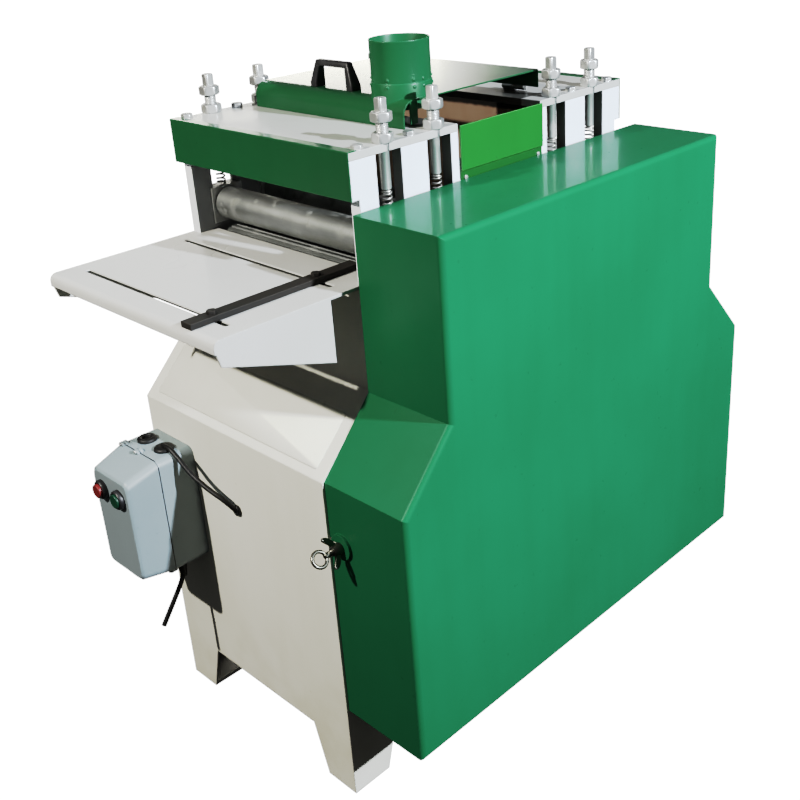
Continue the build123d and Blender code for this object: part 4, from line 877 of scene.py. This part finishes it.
# Starter: a cast box and a tapered cover on a rubber gasket, screwed together at lugs, with two sprung
# buttons in black bezels, rubber cable entries and the cables to the motor and the supply.
starter_paint = enamel(
    "starter_paint", rgb(128, 139, 143), rgb(121, 132, 135), rgb(164, 175, 182), rgb(84, 88, 86),
    rough=0.34, shine=0.4, coat=0.05, top_coat=0.1, peel=0.3, soft=0.004,
)
dress(starter_paint, "starter_base", "starter_cover")
box_x, box_z, box_split, box_face = -0.271, 0.456, -0.517, -0.581
corner_x, corner_z = 0.0485, 0.0995
gasket = bmesh.new()
gasket_section = ((0.0147, -0.0008), (0.0147, 0.0008), (0.0132, 0.0008), (0.0132, -0.0008))
rings = []
for quarter, (way_x, way_z) in enumerate(((1, 1), (-1, 1), (-1, -1), (1, -1))):
    x, z = box_x + way_x * corner_x, box_z + way_z * corner_z
    for k in range(9):
        angle = (quarter + k / 8) * pi / 2
        rings.append([
            Vector((x + cos(angle) * out, box_split + depth, z + sin(angle) * out)) for out, depth in gasket_section
        ])
skin(gasket, rings, closed=True)
add_piece("starter_gasket", gasket, black_rubber, "machine", "black_rubber")

lugs = bmesh.new()
lug_screws = bmesh.new()
lug_half, lug_rise, lug_root, lug_front = 0.008, 0.0062, -0.002, -0.523
lug_outline = [(lug_half * cos(k * pi / 12), lug_rise * sin(k * pi / 12)) for k in range(13)]
lug_outline += [(-lug_half, lug_root), (lug_half, lug_root)]
for lug_x, lug_z, way in ((-0.3200, 0.5685, 1), (-0.2710, 0.5698, 1), (-0.3200, 0.3435, -1), (-0.2220, 0.3435, -1)):
    for back, front in ((-0.510, -0.5164), (-0.5176, lug_front)):
        edge = (front - back) * 0.12
        rings = []
        for depth, shrink in ((back, 0.92), (back + edge, 1.0), (front - edge, 1.0), (front, 0.92)):
            rings.append([Vector((lug_x + x * shrink, depth, lug_z + way * z * shrink)) for x, z in lug_outline])
        skin(lugs, rings)
    place = Matrix.Translation((lug_x, lug_front, lug_z + way * 0.0022)) @ Matrix.Rotation(pi / 2, 4, "X")
    pan_screw(lug_screws, place, 0.0034)
add_piece("starter_lugs", lugs, starter_paint, "machine", "starter_casting")
add_piece("lug_screws", lug_screws, zinc_plate, "machine", "zinc_steel")

button_z, bezel_depth = 0.514, 0.009
bezels = bmesh.new()
stop_push = bmesh.new()
start_push = bmesh.new()
for button_x, push, reach in ((-0.299, stop_push, 0.006), (-0.243, start_push, 0.004)):
    facing = Matrix.Translation((button_x, box_face, button_z)) @ Matrix.Rotation(pi / 2, 4, "X")
    turned(bezels, facing, [
        (0.0136, 0.0), (0.0180, 0.0), (0.0180, 0.0052), (0.0174, 0.0076), (0.0162, 0.0088), (0.0148, bezel_depth),
        (0.0138, 0.0084),
    ], closed=True)
    front = bezel_depth + reach
    turned(push, facing, [
        (0.0124, -0.004), (0.0129, -0.003), (0.0129, front - 0.0018), (0.0124, front - 0.0006), (0.0114, front),
        (0.0098, front - 0.0002), (0.0070, front - 0.0006), (0.0035, front - 0.0008),
    ])
add_piece("button_rings", bezels, black_plastic, "machine", "black_plastic", "button_bezels")
stop_red = moulded("stop_red", rgb(104, 35, 33), rgb(92, 29, 28), shine=0.35)
start_green = moulded("start_green", rgb(16, 56, 40), rgb(14, 48, 34), shine=0.35)
add_piece("stop_push", stop_push, stop_red, "stop", "red_plastic", "stop_button")
add_piece("start_push", start_push, start_green, "start", "green_plastic", "start_button")

entries = bmesh.new()
open_entry = Matrix.Translation((-0.299, -0.481, 0.570))
entry_rim = [(0.0180, 0.0), (0.0180, 0.0022), (0.0172, 0.0044), (0.0155, 0.0060), (0.0132, 0.0069)]
open_lip = [(0.0108, 0.0068), (0.0092, 0.0058), (0.0082, 0.0040)]
turned(entries, open_entry, [(0.0082, 0.0004)] + entry_rim + open_lip, closed=True)
turned(entries, open_entry, [(0.0084, 0.0006), (0.0084, 0.0020), (0.0050, 0.0024), (0.0015, 0.0024)], steps=32)
lead_entry = Matrix.Translation((-0.243, -0.481, 0.570))
turned(entries, lead_entry, entry_rim + [(0.0098, 0.0074), (0.0060, 0.0070)])
strain_relief = Matrix.Translation((-0.244, -0.485, 0))
turned(entries, strain_relief, [
    (0.0060, 0.3020), (0.0062, 0.3024), (0.0066, 0.3060), (0.0062, 0.3066), (0.0070, 0.3100), (0.0066, 0.3106),
    (0.0076, 0.3150), (0.0072, 0.3156), (0.0084, 0.3210), (0.0092, 0.3280), (0.0108, 0.3290), (0.0110, 0.3300),
    (0.0110, 0.3420),
])
wall_bush = Matrix.Translation((-0.0885, -0.445, 0.487)) @ Matrix.Rotation(pi / 2, 4, "X")
turned(entries, wall_bush, [
    (0.0100, 0.0), (0.0100, 0.0030), (0.0094, 0.0048), (0.0080, 0.0058), (0.0055, 0.0060), (0.0048, 0.0050),
])
add_piece("cable_entries", entries, black_rubber, "machine", "black_rubber", "cable_grommets")
cable_thick = 0.009


def cable(name, route, node, **facts):
    # Round rubber cable along a smooth line through its route
    line = bpy.data.curves.new(name, "CURVE")
    line.dimensions = "3D"
    line.bevel_depth = cable_thick / 2
    line.bevel_resolution = 5
    line.resolution_u = 16
    line.use_fill_caps = True
    spline = line.splines.new("NURBS")
    spline.points.add(len(route) - 1)
    for point, place in zip(spline.points, route):
        point.co = (*place, 1)
    spline.order_u = 3
    spline.use_endpoint_u = True
    line.materials.append(black_rubber)
    made = bpy.data.objects.new(name, line)
    bpy.context.scene.collection.objects.link(made)
    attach(made, "machine")
    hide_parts(node)


cable("motor_lead", [
    (-0.245, -0.481, 0.5755), (-0.2331, -0.4815, 0.5797), (-0.209, -0.4813, 0.5728), (-0.1702, -0.479, 0.5445),
    (-0.1285, -0.471, 0.5234), (-0.1022, -0.4634, 0.512), (-0.0893, -0.4541, 0.4957), (-0.0885, -0.4485, 0.487),
], "motor_cable", length=0.195, far_end="object", stiffness="medium", lay="hanging")
cable("supply_lead", [
    (-0.244, -0.485, 0.328), (-0.244, -0.485, 0.306), (-0.243, -0.4965, 0.286), (-0.2425, -0.519, 0.256),
    (-0.245, -0.543, 0.219),
], "supply_tail", length=0.126, far_end="bare", stiffness="medium", lay="hanging")
